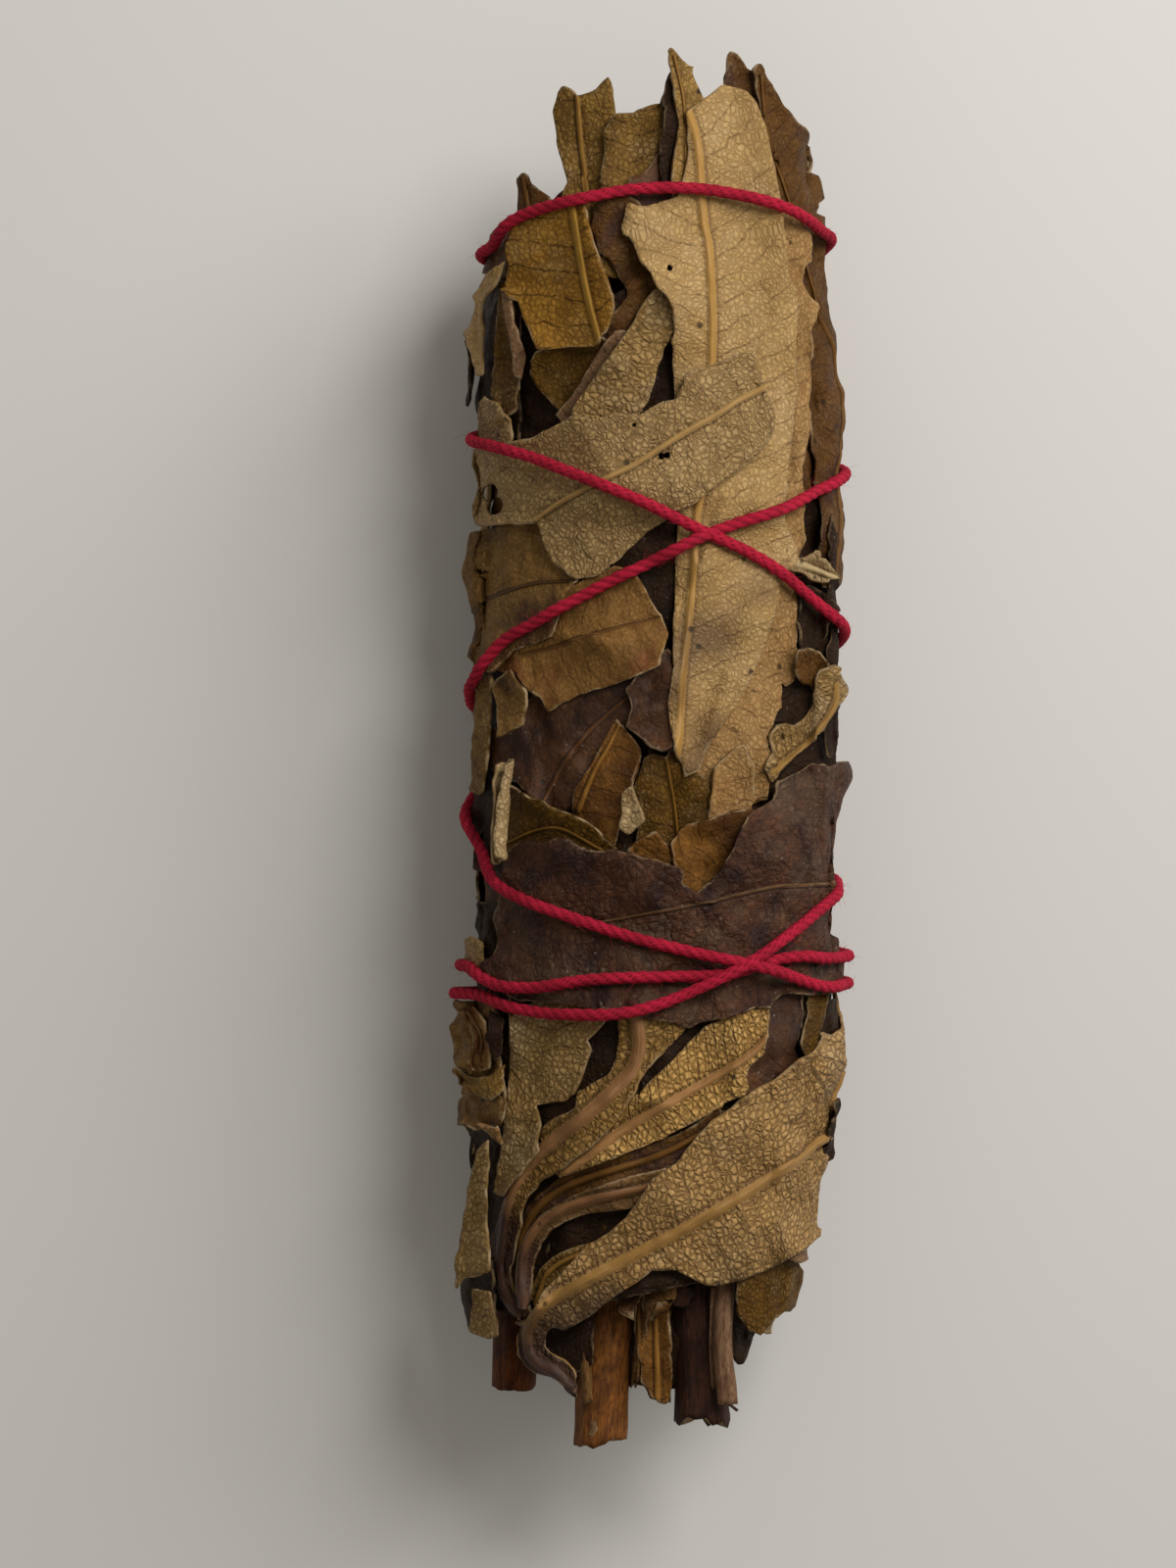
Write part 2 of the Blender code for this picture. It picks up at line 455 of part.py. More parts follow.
def add_shell(name, points, thickness, material, collection, rolled=False):
    """A shell with one face through a lattice of points, thickened inwards: into the bundle, or into its
    own curl if it is rolled up."""
    rows, columns = points.shape[0] - 1, points.shape[1] - 1
    grid = bmesh.new()
    bmesh.ops.create_grid(grid, x_segments=rows, y_segments=columns, size=0.5)
    for vertex in grid.verts:
        i, j = round((vertex.co.x + 0.5) * rows), round((vertex.co.y + 0.5) * columns)
        vertex.co = points[i, j] * MM
    grid.normal_update()
    middle = grid.faces[:][len(grid.faces) // 2]
    outwards = middle.normal
    centre = middle.calc_center_median()
    inside = (taper(centre.y / MM)[0] * MM, centre.y, (UNDERSIDE + HALF_HEIGHT) * MM)
    if sum(outwards[k] * (centre[k] - inside[k]) for k in range(3)) < 0:
        bmesh.ops.reverse_faces(grid, faces=grid.faces)
    mesh = bpy.data.meshes.new(name)
    grid.to_mesh(mesh)
    grid.free()
    shell = add_object(name, mesh, material, collection)
    solidify = shell.modifiers.new("thickness", "SOLIDIFY")
    solidify.thickness = thickness * MM
    solidify.offset = 1 if rolled else -1
    return shell


def add_tube(name, points, radius, sides, material, collection):
    """A round bar along the points."""
    curve = bpy.data.curves.new(name, "CURVE")
    curve.dimensions = "3D"
    curve.bevel_depth = radius * MM
    curve.bevel_resolution = sides // 2 - 2
    curve.use_fill_caps = True
    spline = curve.splines.new("POLY")
    spline.points.add(len(points) - 1)
    for target, point in zip(spline.points, points, strict=True):
        target.co = (*(np.asarray(point) * MM), 1)
    return add_object(name, curve, material, collection)


def add_inner_leaves(materials, collection):
    """The folded leaves next to the stems, a quarter of the way round each."""
    quarter = arc_at(math.radians(90), 0)
    for name, turn, start, end in INNER_LEAVES:
        half = 0.5 * quarter * (HALF_WIDTH - INNER_DEPTH) / (HALF_WIDTH + MIDDLE_LAYER) + 0.9
        stations = tuple((0, y, half * share, half * share)
                         for y, share in ((start, 0.8), (start + 8, 1), (end - 10, 1), (end, 0.7)))
        angle, y, _ = lattice(Leaf(name, "rust", stations, turn=turn), 6, 4)
        points = place(angle, y, -INNER_DEPTH + 0 * y)
        add_shell(name, points, INNER_THICKNESS, materials["rust"], collection)


def add_stems(materials, collection):
    for name, radius, route in STEMS:
        points = smooth_curve([(y, x, z) for x, y, z in route], np.linspace(0, 1, 10))
        add_tube(name, points[:, [1, 0, 2]], radius, 8, materials["bark"], collection)


# --- The string -------------------------------------------------------------------------------------


def unwound(route):
    """The route's angles, which go on growing with each turn round the bundle, and its y."""
    x, y, face = np.array(route, float).T
    return np.unwrap(angle_at(x, y, STRING_HEIGHT, face)), y


def string_points(stack):
    """The string's centre line, drawn tight over the leaves and over its own earlier turns."""
    angle, y = unwound(STRING_ROUTE)
    turns = np.floor((angle + math.pi) / math.tau)
    arc = arc_at(angle - turns * math.tau, y) + turns * arc_at(math.tau, y)
    length = np.hypot(np.diff(arc), np.diff(y)).sum()
    count = round(length / STRING_STEP)
    line = smooth_curve(np.stack([arc, y, angle], axis=1), np.linspace(0, 1, count + 1))
    angle, y = line[:, 2], line[:, 1]
    along = np.gradient(line[:, :2], axis=0)
    aside = STRING_DIAMETER / 2 * along[:, ::-1] / np.linalg.norm(along, axis=1)[:, None]
    edge_angle = np.stack([angle - aside[:, 0] / HALF_WIDTH, angle + aside[:, 0] / HALF_WIDTH], axis=1)
    edge_y = np.stack([y + aside[:, 1], y - aside[:, 1]], axis=1)
    clearance = STRING_GAP + STRING_DIAMETER / 2
    needed = stack.height(samples(edge_angle)[0], samples(edge_y)[0]) + clearance
    height = raise_over(needed, stack.height(edge_angle, edge_y) + clearance).max(axis=1)
    height[1:-1] = np.maximum(height[1:-1], (height[2:] + height[:-2]) / 2)
    raise_over_itself(line[:, :2], height)
    return place(angle, y, height)


def raise_over_itself(line, height):
    """Lifts the later turns of the string over the earlier ones where they cross."""
    girth = arc_at(math.tau, line[:, 1].mean())
    shares = np.linspace(0, 1, 8)[1:, None, None]
    between = line[:-1] + (line[1:] - line[:-1]) * shares
    for i in range(CROSSING_SKIP, len(line)):
        earlier = between[:, : i - CROSSING_SKIP]
        earlier_height = height[: i - CROSSING_SKIP] + (height[1 : i - CROSSING_SKIP + 1]
                                                        - height[: i - CROSSING_SKIP]) * shares[:, :, 0]
        own = between[:, i - 1 : i + 1].reshape(-1, 1, 1, 2)
        apart = own - earlier
        apart[..., 0] -= girth * np.round(apart[..., 0] / girth)
        near = np.hypot(apart[..., 0], apart[..., 1]).min(axis=0) < STRING_DIAMETER + STRING_GAP
        if near.any():
            height[i] = max(height[i], earlier_height[near].max() + STRING_DIAMETER + STRING_GAP)


def add_string(stack, materials, collection):
    add_tube("string", string_points(stack), STRING_DIAMETER / 2, 8, materials["string"], collection)


def main():
    clear_scene()
    collection = bpy.data.collections.new("smudge_stick")
    bpy.context.scene.collection.children.link(collection)
    materials = {name: make_material(name, 0.75) for name in COLOURS}
    add_stems(materials, collection)
    add_inner_leaves(materials, collection)
    stack = Stack()
    for leaf in LEAVES:
        points = lay(leaf, stack)
        add_shell(leaf.name, points, LEAF_THICKNESS, materials[leaf.finish], collection, leaf.roll > 0)
    add_string(stack, materials, collection)


main()
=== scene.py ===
"""Smudge stick: veined dried leaves, cut stems and twisted cotton string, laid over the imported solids."""

import math
from dataclasses import dataclass

import bmesh
import bpy
import numpy as np
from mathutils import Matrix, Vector
from mathutils.bvhtree import BVHTree
from mathutils.geometry import delaunay_2d_cdt


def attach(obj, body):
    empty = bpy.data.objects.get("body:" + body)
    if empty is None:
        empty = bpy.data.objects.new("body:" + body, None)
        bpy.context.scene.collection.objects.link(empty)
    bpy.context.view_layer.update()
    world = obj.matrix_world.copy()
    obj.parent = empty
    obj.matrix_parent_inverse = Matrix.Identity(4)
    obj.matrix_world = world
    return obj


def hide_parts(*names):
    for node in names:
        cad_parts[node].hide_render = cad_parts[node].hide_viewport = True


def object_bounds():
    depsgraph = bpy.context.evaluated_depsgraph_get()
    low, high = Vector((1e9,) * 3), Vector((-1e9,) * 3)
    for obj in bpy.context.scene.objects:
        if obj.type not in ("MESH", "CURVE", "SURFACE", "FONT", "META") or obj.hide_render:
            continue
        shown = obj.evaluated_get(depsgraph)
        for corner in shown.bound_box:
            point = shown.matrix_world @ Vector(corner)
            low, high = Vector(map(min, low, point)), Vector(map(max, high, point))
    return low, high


bl_info = {
    "name": "Smudge Stick",
    "version": (1, 0, 0),
    "blender": (4, 5, 0),
    "location": "3D View > Sidebar > Smudge Stick",
    "description": "Dresses a packed smudge stick with veined dried leaves, cut stems and twisted string",
    "category": "Object",
}

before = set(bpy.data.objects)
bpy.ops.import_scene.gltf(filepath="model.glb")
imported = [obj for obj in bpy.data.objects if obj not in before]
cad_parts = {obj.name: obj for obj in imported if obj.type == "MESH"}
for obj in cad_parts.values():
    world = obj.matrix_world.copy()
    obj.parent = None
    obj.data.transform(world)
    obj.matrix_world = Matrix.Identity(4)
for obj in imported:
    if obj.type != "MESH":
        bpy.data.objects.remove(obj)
CAD_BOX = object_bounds()

MM = 0.001

# Sizes of the bundle, in millimetres.
HALF_WIDTH = 13.2  # of the bundle's section, inside the outer leaves
HALF_HEIGHT = 9.3
UNDERSIDE = 3.7  # height of that section's underside over the surface it rests on
MIDDLE_LAYER = 2.4  # height in the leaf stack at which arc lengths are measured
OUT_OF_REACH = 14.0  # height over the section from which leaves are looked for
PAST_THE_RIB = 10.0  # how far a midrib is drawn out past its ends to lay the side veins by
SIDE_START, SIDE_SPAN = math.radians(68), math.radians(20)  # where the top turns into the side
INNER_REACH = 8.9  # half width of the leaves inside the bundle
INNER_THICKNESS = 0.5
SCRAP_THICKNESS = 0.3
SCRAPS_A_SIDE = 9
STRING_HEIGHT = 4.0  # first guess of how high the string lies over the section

# The bundle's taper: position along Y, sideways shift of its middle, and scale of its section.
TAPER = (
    (-60, -1.0, 0.88),
    (-46, -1.0, 0.92),
    (-38, -0.6, 0.97),
    (-28, 0.0, 1.0),
    (-12, 0.4, 1.02),
    (6, 0.5, 1.01),
    (24, 0.5, 0.97),
    (40, 0.4, 0.92),
    (60, 0.6, 0.86),
)


@dataclass(frozen=True)
class Leaf:
    """A leaf or piece of leaf. Its stations run along its midrib: x and y as seen from above, then how
    far the blade reaches to the left and to the right of the midrib there."""

    name: str
    stations: tuple
    turn: float = 0  # degrees that the leaf is moved round the bundle, from the top towards +X
    roll: float = 0  # radius that its blade is rolled to, or 0
    rests: bool = False  # its middle is pressed flat on the surface under the bundle


# The leaves inside the bundle: degrees round it from the top, and the two y between which they lie.
INNER_LEAVES = (
    ("inner_leaf_top", 0, -37, 45),
    ("inner_leaf_right", 90, -38, 42),
    ("inner_leaf_under", 180, -39, 44),
    ("inner_leaf_left", -90, -36, 41),
)

# How far along Y the scraps inside each end reach.
OPEN_ENDS = (("tips", 44.0), ("stems", -45.6))

# The leaves of the sides and the underside, with their skins.
SIDE_LEAVES = (
    ("umber", Leaf("left_side_leaf_a", ((-1, -14, 3, 3), (-0.5, -4, 4, 3.6), (0, 8, 4.2, 3.4),
        (-0.5, 17, 2.6, 2.6)), turn=-97)),
    ("mid", Leaf("left_side_leaf_b", ((1, 14, 3, 2.4), (0, 24, 4.2, 3), (0, 34, 4, 3.2), (0.5, 43, 2.4, 2)),
        turn=-92)),
    ("gold", Leaf("left_side_leaf_c", ((0, -45, 2.4, 2.2), (0, -37, 3.6, 3), (0.5, -28, 3.4, 3),
        (0, -21, 2.4, 2)), turn=-100)),
    ("plum", Leaf("right_side_leaf_a", ((0, -3, 2.6, 3), (0, 8, 3.6, 3.6), (0, 20, 3.8, 3.8),
        (0, 31, 2.6, 3)), turn=96)),
    ("umber", Leaf("right_side_leaf_b", ((0, 24, 2.4, 3), (0, 34, 3.4, 3.6), (-0.5, 44, 2.8, 2.6),
        (-1, 50, 1, 1)), turn=104)),
    ("rough", Leaf("right_side_leaf_c", ((0.5, -42, 2.4, 2), (0, -33, 3.4, 3), (-0.5, -24, 3, 3)), turn=98)),
    ("rust", Leaf("under_leaf_a", ((-9, -38, 2, 2), (-3, -26, 4.4, 4.2), (2, -14, 4.6, 4.6),
        (6, -2, 2.4, 2.6)), turn=180)),
    ("mid", Leaf("under_leaf_b", ((9, 4, 2, 2.4), (4, 16, 4.6, 4.4), (-2, 30, 4.4, 4.2), (-5, 42, 2, 2)),
        turn=180)),
    ("gold", Leaf("under_leaf_c", ((7, -45, 2, 2.4), (4, -38, 4, 3.6), (5, -30, 3.6, 3), (6, -23.4, 2, 2)),
        turn=180)),
    ("plum", Leaf("under_leaf_d", ((-12, 0, 2, 2), (-6, 3, 4.2, 4), (1, 5, 4.4, 4), (8, 4, 2.6, 2.6)),
        turn=180)),
)

# The leaf that is rolled up at the left edge.
ROLLED_LEAVES = (
    ("pale", Leaf("speckled_roll", ((-12.6, -9.8, 1.7, 1.7), (-12.6, -6, 1.9, 1.9), (-12.5, -1, 1.5, 1.5)),
        roll=0.7)),
)

# The leaves that the bundle rests on.
REST_LEAVES = (
    ("mid", Leaf("rest_leaf_tips", ((-0.5, 8.6, 4, 4), (0, 14, 5.4, 5.4), (0.5, 19, 5.2, 5.2),
        (0.5, 24.4, 3.6, 3.6)), turn=180, rests=True)),
    ("umber", Leaf("rest_leaf_middle", ((-1, -15.6, 3, 3), (0, -11.6, 5, 5), (0.5, -7.8, 3.4, 3.4)), turn=180,
        rests=True)),
    ("gold", Leaf("rest_leaf_stems", ((0.5, -45, 2.6, 2.6), (0, -38, 4.8, 4.8), (-0.5, -31, 5.2, 5.2),
        (-0.5, -24.6, 3.4, 3.4)), turn=180, rests=True)),
)

# Each stem's radius, and its route from the cut end up into the bundle: x, y and z.
STEMS = (
    ("stem_left", 1.7, ((-11.2, -52.6, 12.4), (-11, -47, 12.6), (-8.6, -40, 13.2), (-6.4, -32, 13.4),
        (-6.2, 10, 13.4), (-6, 34, 13.4))),
    ("stem_middle", 2.05, ((-4.2, -56.9, 16.6), (-3.4, -47, 16.2), (-2.6, -36, 15.9), (-2.3, -20, 15.7),
        (-2.2, 36, 15.7))),
    ("stem_right", 2.1, ((4.1, -54.9, 16.2), (3.8, -46, 16), (2.9, -36, 15.8), (2.3, -20, 15.7),
        (2.3, 33, 15.7))),
    ("stem_under_left", 1.7, ((-6.4, -51.4, 9.6), (-4.6, -44, 10.2), (-2.6, -34, 10.9), (-2.2, 38, 11.3))),
    ("stem_under_right", 1.75, ((0.6, -52.6, 9.2), (1.6, -44, 10.2), (2.3, -34, 10.9), (2.2, 31, 11.3))),
    ("stem_thin", 0.8, ((6.3, -53.6, 18.8), (5.9, -48, 18.6), (6.2, -42, 17.8), (7.2, -30, 14.4),
        (7.5, 22, 13.6))),
)

# The string's route, from the end that lies under the other turns: the face of the bundle that it
# crosses, and x and y of its points there.
TOP, UNDER = 1, -1
STRING_ROUTE = (
    (UNDER, (12.4, -16.2, 14.8, -16.9)),
    (TOP, (14.6, -17.3, 12.4, -17, 9.4, -17.4, 6, -18.5, 1, -18.6, -5, -18.8, -9.6, -19.6, -12.4, -19.55,
         -15, -17.9)),
    (UNDER, (-14.2, -18, -6, -18.6, 3, -18.6, 9.6, -18.4, 14.4, -19.2)),
    (TOP, (14.2, -19.6, 11.4, -18.6, 8, -17.6, 3.6, -16.7, -2, -15.3, -8, -13.3, -12.8, -11.2, -14.6, -7.2)),
    (UNDER, (-14.4, -3.6, -11.8, 2.4, -7, 2.6, -3, 2.6, 3, 4.3, 10, 6.3, 15, 8.2)),
    (TOP, (14.8, 10.6, 12, 13.1, 8, 15.7, 4, 17.4, 0, 19.4, -6, 21.9, -11.6, 24.1, -14.4, 25)),
    (UNDER, (-13.6, 26, -7, 26.9, 0, 28, 7.5, 30.4, 11.6, 34.4, 14, 40.6)),
    (TOP, (12.4, 43.2, 8.6, 44.5, 3.5, 45.2, 0, 45.2, -5.5, 44.3, -10.8, 43.1, -13, 41.2)),
    (UNDER, (-12.8, 39.8, -8, 38, -2, 36.4, 5, 34.4, 10.5, 30.5, 14.6, 24)),
    (TOP, (14.2, 21.2, 11, 19.4, 7.4, 18.2, 4, 16.9, 0, 14.9, -4, 13, -8.8, 10.4, -12.2, 8.5, -14.2, 6)),
    (UNDER, (-14.4, 3.2, -11, 1.2, -5, -1.4, 2, -4, 9, -7.2, 14.6, -10.4)),
    (TOP, (14.2, -13, 11.2, -15.2, 8.6, -17.1, 5, -19, 0.5, -20.9, -3.5, -21.7, -9, -21.6, -12.2, -20.95,
         -15, -20.2)),
    (UNDER, (-13.2, -20.3, -8, -20.7, -2, -20.9, 4, -20.9, 9, -20.4)),
)


def pairs(numbers):
    """A run of numbers as points with x and y."""
    return np.array(numbers, float).reshape(-1, 2)


STRING_POINTS = np.array([(*point, face) for face, run in STRING_ROUTE for point in pairs(run)])


# --- The bundle's section ---


def section(angle):
    """x and z of the bare section, and its outward normal, at an angle from the top towards +X. Its top
    is half an ellipse, and its underside is flattened."""
    sine, cosine = np.sin(angle), np.cos(angle)
    lower = np.clip(-cosine, 0, 1) * math.pi / 2
    x = HALF_WIDTH * sine
    z = np.where(cosine >= 0, HALF_HEIGHT * cosine, -HALF_HEIGHT * np.sin(lower))
    along_x = HALF_WIDTH * cosine
    along_z = -HALF_HEIGHT * sine * np.where(cosine >= 0, 1, math.pi / 2 * np.cos(lower))
    length = np.hypot(along_x, along_z)
    return x, z, -along_z / length, along_x / length


def taper(y):
    """The sideways shift and the scale of the section at y."""
    table = np.array(TAPER)
    return np.interp(y, table[:, 0], table[:, 1]), np.interp(y, table[:, 0], table[:, 2])


def place(angle, y, height):
    """The point at a height over the section, as an array with x, y and z last."""
    x, z, normal_x, normal_z = section(angle)
    shift, scale = taper(y)
    return np.stack(
        (
            shift + scale * x + height * normal_x,
            y + 0 * x,
            UNDERSIDE + scale * (z + HALF_HEIGHT) + height * normal_z,
        ),
        axis=-1,
    )


def measured_section():
    """Angles all round, twice over, with the arc length of the middle layer at each."""
    angles = np.radians(np.arange(-360, 360.5, 0.5))
    x, z, normal_x, normal_z = section(angles)
    steps = np.hypot(np.diff(x + MIDDLE_LAYER * normal_x), np.diff(z + MIDDLE_LAYER * normal_z))
    arc = np.concatenate([[0], np.cumsum(steps)])
    return angles, arc - np.interp(0, angles, arc)


ANGLES, ARCS = measured_section()
TOP_ANGLES = ANGLES[np.abs(ANGLES) <= math.pi / 2]


def angle_at(x, y, height, face=1):
    """The angle at which something at this height has this x, on the top face or the underside (-1)."""
    base_x, _, normal_x, _ = section(TOP_ANGLES)
    shift, scale = taper(y)
    found = [np.interp(a - b, c * base_x + h * normal_x, TOP_ANGLES)
             for a, b, c, h in zip(x, shift, scale, height + 0 * x, strict=True)]
    return np.where(face > 0, found, math.pi - np.array(found))


def arc_at(angle, y):
    """The arc length from the top of the bundle to an angle, at y."""
    return np.interp(angle, ANGLES, ARCS) * taper(y)[1]


def angle_of_arc(arc, y):
    """The angle at an arc length from the top of the bundle, at y."""
    return np.interp(arc / taper(y)[1], ARCS, ANGLES)


# --- Curves through a few points ---


def smooth_curve(points, at):
    """A curve through the points that never swings past them, read at shares of its length from 0 to 1."""
    points = np.asarray(points, float)
    lengths = np.linalg.norm(np.diff(points[:, :2], axis=0), axis=1)
    knots = np.concatenate([[0], np.cumsum(lengths)]) / lengths.sum()
    secants = np.diff(points, axis=0) / np.diff(knots)[:, None]
    product = secants[:-1] * secants[1:]
    total = np.where(product > 0, secants[:-1] + secants[1:], 1)
    slopes = np.concatenate([secants[:1], np.where(product > 0, 2 * product / total, 0), secants[-1:]])
    i = np.clip(np.searchsorted(knots, at, side="right") - 1, 0, len(knots) - 2)
    width = (knots[i + 1] - knots[i])[:, None]
    t = ((at - knots[i]) / width[:, 0])[:, None]
    return (
        (2 * t**3 - 3 * t**2 + 1) * points[i]
        + (t**3 - 2 * t**2 + t) * width * slopes[i]
        + (3 * t**2 - 2 * t**3) * points[i + 1]
        + (t**3 - t**2) * width * slopes[i + 1]
    )


def smooth_noise(x, y, z, size, seed=0):
    """Noise from -1 to 1 with lumps of a size, in millimetres."""
    spots = np.stack(np.broadcast_arrays(x, y, z), axis=-1) / size + 31.7 * seed
    cell = np.floor(spots).astype(np.int64)
    part = spots - cell
    part = part * part * (3 - 2 * part)
    total = 0
    primes = np.array([73856093, 19349663, 83492791])
    for corner in np.ndindex(2, 2, 2):
        number = (cell + corner) @ primes
        number = (number ^ (number >> 13)) * 1274126177 & 0x7FFFFFFF
        weight = np.where(corner, part, 1 - part).prod(axis=-1)
        total = total + weight * ((number >> 7) % 65536 / 32767.5 - 1)
    return total


def blurred(grid, sigma_rows, sigma_columns):
    """A grid smoothed by a bell curve each way, in grid steps."""
    for axis, sigma in ((0, sigma_rows), (1, sigma_columns)):
        reach = max(1, int(2.5 * sigma))
        kernel = np.exp(-0.5 * (np.arange(-reach, reach + 1) / max(sigma, 0.1)) ** 2)
        kernel /= kernel.sum()
        pad = [(0, 0), (0, 0)]
        pad[axis] = (reach, reach)
        padded = np.pad(grid, pad, mode="edge")
        size = grid.shape[axis]
        grid = sum(k * np.take(padded, range(i, i + size), axis=axis) for i, k in enumerate(kernel))
    return grid


def filled(grid):
    """A grid whose missing values are taken from the nearest ones of their row, then of the column."""
    grid = grid.copy()
    for row in grid:
        known = np.flatnonzero(~np.isnan(row))
        if len(known):
            row[:] = np.interp(np.arange(len(row)), known, row[known])
    known = np.flatnonzero(~np.isnan(grid[:, 0]))
    if not len(known):
        return None
    nearest = known[np.abs(np.arange(len(grid))[:, None] - known).argmin(axis=1)]
    return grid[nearest]


# --- The heap of leaves laid so far ---


class Heap:
    """How high the dressed leaves reach over the section so far, on a fine grid of angle and y."""

    ANGLE_STEP = math.radians(0.8)
    Y_STEP = 0.2
    Y_START, Y_END = -62, 62

    def __init__(self):
        rows = int((self.Y_END - self.Y_START) / self.Y_STEP)
        self.top = np.zeros((int(math.tau / self.ANGLE_STEP), rows))

    def cells(self, angle, y):
        """The grid cell that each spot lies in."""
        across = np.round(angle / self.ANGLE_STEP).astype(int) % self.top.shape[0]
        along = np.clip(np.round((y - self.Y_START) / self.Y_STEP).astype(int), 1, self.top.shape[1] - 2)
        return across, along

    def height(self, angle, y):
        """How high the heap reaches at each spot, its cell and the eight round it taken together."""
        across, along = self.cells(angle, y)
        turn = self.top.shape[0]
        around = [self.top[(across + i) % turn, along + j] for i in (-1, 0, 1) for j in (-1, 0, 1)]
        return np.max(around, axis=0)

    def add(self, angle, y, height):
        """Adds a surface given as a lattice, with points between its own."""
        for s in (0, 0.34, 0.67):
            for t in (0, 0.34, 0.67):
                between = [
                    (1 - s) * (1 - t) * g[:-1, :-1] + s * (1 - t) * g[1:, :-1] + (1 - s) * t * g[:-1, 1:]
                    + s * t * g[1:, 1:] for g in (angle, y, height)
                ]
                np.maximum.at(self.top, self.cells(between[0], between[1]), between[2])

    def add_triangles(self, angle, y, height, triangles):
        """Adds a surface given as triangles."""
        corners = np.stack([angle, y, height], axis=-1)[triangles]
        for shares in ((1, 0, 0), (0, 1, 0), (0, 0, 1), (0.5, 0.5, 0), (0, 0.5, 0.5), (0.5, 0, 0.5),
                       (1 / 3, 1 / 3, 1 / 3)):
            spot = np.tensordot(shares, corners, (0, 1))
            np.maximum.at(self.top, self.cells(spot[:, 0], spot[:, 1]), spot[:, 2])


def own_solid(name):
    """The solid of this name, if there is one, for a piece to stand for."""
    return (name,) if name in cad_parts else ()


def dressed(name, replaced):
    """The name of a piece that stands for the replaced solids."""
    return name + "_dressed" if replaced else name


def solid_tree(name):
    """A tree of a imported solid's faces, in millimetres, to find its surface with."""
    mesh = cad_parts[name].data
    mesh.calc_loop_triangles()
    corners = [tuple(c / MM for c in v.co) for v in mesh.vertices]
    return BVHTree.FromPolygons(corners, [tuple(t.vertices) for t in mesh.loop_triangles])


def solid_height(tree, angle, y):
    """The height over the section of a solid's outer face, or NaN where it isn't met."""
    start = place(angle, y, OUT_OF_REACH)
    aim = place(angle, y, 0.0) - start
    found = np.full(angle.shape, np.nan)
    for where in np.ndindex(angle.shape):
        hit = tree.ray_cast(Vector(start[where]), Vector(aim[where]), OUT_OF_REACH + HALF_HEIGHT)
        if hit[3] is not None:
            found[where] = OUT_OF_REACH - hit[3]
    return found


# --- Leaves ---


@dataclass(frozen=True)
class Look:
    """How a leaf is dressed. Lengths are in millimetres."""

    skin: str = "brown"
    rib: float = 0.3  # half width of the midrib
    rise: float = 0.22  # how far the midrib stands out
    curl: float = 0.5  # how far the edges stand up
    torn: float = 0.25  # raggedness of the edges
    ends: float = 0.8  # raggedness of the two ends
    crumple: float = 0.25  # depth of its folds
    quilt: float = 0.1  # bulge of the blade between side veins
    slant: float = 0.75  # how far the side veins run up for each millimetre out
    spacing: float = 3.0  # between side veins
    round_end: float = 0.6  # length over which its ends are rounded


def curve_frame(stations, at):
    """Points of the midrib curve and its direction there, for a grid of shares."""
    flat = at.ravel()
    line = smooth_curve(stations, flat).reshape(*at.shape, -1)
    ahead = smooth_curve(stations, np.clip(flat + 0.01, 0, 1)).reshape(*at.shape, -1)
    back = smooth_curve(stations, np.clip(flat - 0.01, 0, 1)).reshape(*at.shape, -1)
    along = (ahead - back)[..., :2]
    return line, along / np.linalg.norm(along, axis=-1, keepdims=True)


def leaf_lattice(leaf, look, seed, own_height, step):
    """The leaf's points laid out round the bundle: angle, y, rise of a roll, distance out from the
    midrib and along it, and share of the way from midrib to edge."""
    stations = np.array(leaf.stations, float)
    angle = angle_at(stations[:, 0], stations[:, 1], own_height) + math.radians(leaf.turn)
    stations[:, 0] = arc_at(angle, stations[:, 1])
    length = np.linalg.norm(np.diff(stations[:, :2], axis=0), axis=1).sum()
    width = (stations[:, 2] + stations[:, 3]).max()
    rows = max(10, int(length / step))
    columns = 2 * max(4, int(0.5 * width / step * 1.25))
    spread = np.linspace(-1, 1, columns + 1)
    share = np.sign(spread) * np.abs(spread) ** 1.25
    share = np.broadcast_to(share, (rows + 1, columns + 1))
    even = np.broadcast_to(np.linspace(0, 1, rows + 1)[:, None], share.shape)
    bite = look.ends / length
    half = share * width / 2
    first, last = (bite * (0.6 + 0.8 * smooth_noise(half, k, 0, 1.6, seed)
                           + 0.35 * smooth_noise(half, k + 9, 0, 0.5, seed)) for k in (0, 40))
    at = even + np.clip(1 - even / 0.2, 0, 1) ** 2 * first - np.clip(1 - (1 - even) / 0.2, 0, 1) ** 2 * last
    at = np.clip(at, 0, 1)
    line, along = curve_frame(stations, at)
    t = at * length
    ragged = look.torn * (0.7 * smooth_noise(t, 5 * np.sign(share), 0, 2.4, seed)
                          + 0.6 * smooth_noise(t, 5 * np.sign(share), 3, 0.7, seed))
    extent = np.where(share < 0, line[..., 2], line[..., 3])
    round_end = np.clip(np.minimum(even, 1 - even) * length / min(look.round_end, 0.5 * width), 0, 1)
    extent = np.clip(extent * (0.5 + 0.5 * np.sqrt(1 - (1 - round_end) ** 2)) + ragged, 0.15, None)
    out = share * extent
    rise = np.zeros_like(out)
    moved = out
    if leaf.roll:
        turned = np.clip(out / leaf.roll, -2.7, 2.7)
        moved = leaf.roll * np.sin(turned)
        rise = leaf.roll * (1 - np.cos(turned))
    arc = line[..., 0] + moved * along[..., 1]
    y = line[..., 1] - moved * along[..., 0]
    return angle_of_arc(arc, y), y, rise, out, t, share


def shade_of(arc, y, seed):
    """Patches of a leaf that are darker or paler than the rest."""
    return 0.5 + 0.5 * smooth_noise(arc, y, 2, 4.0, seed)


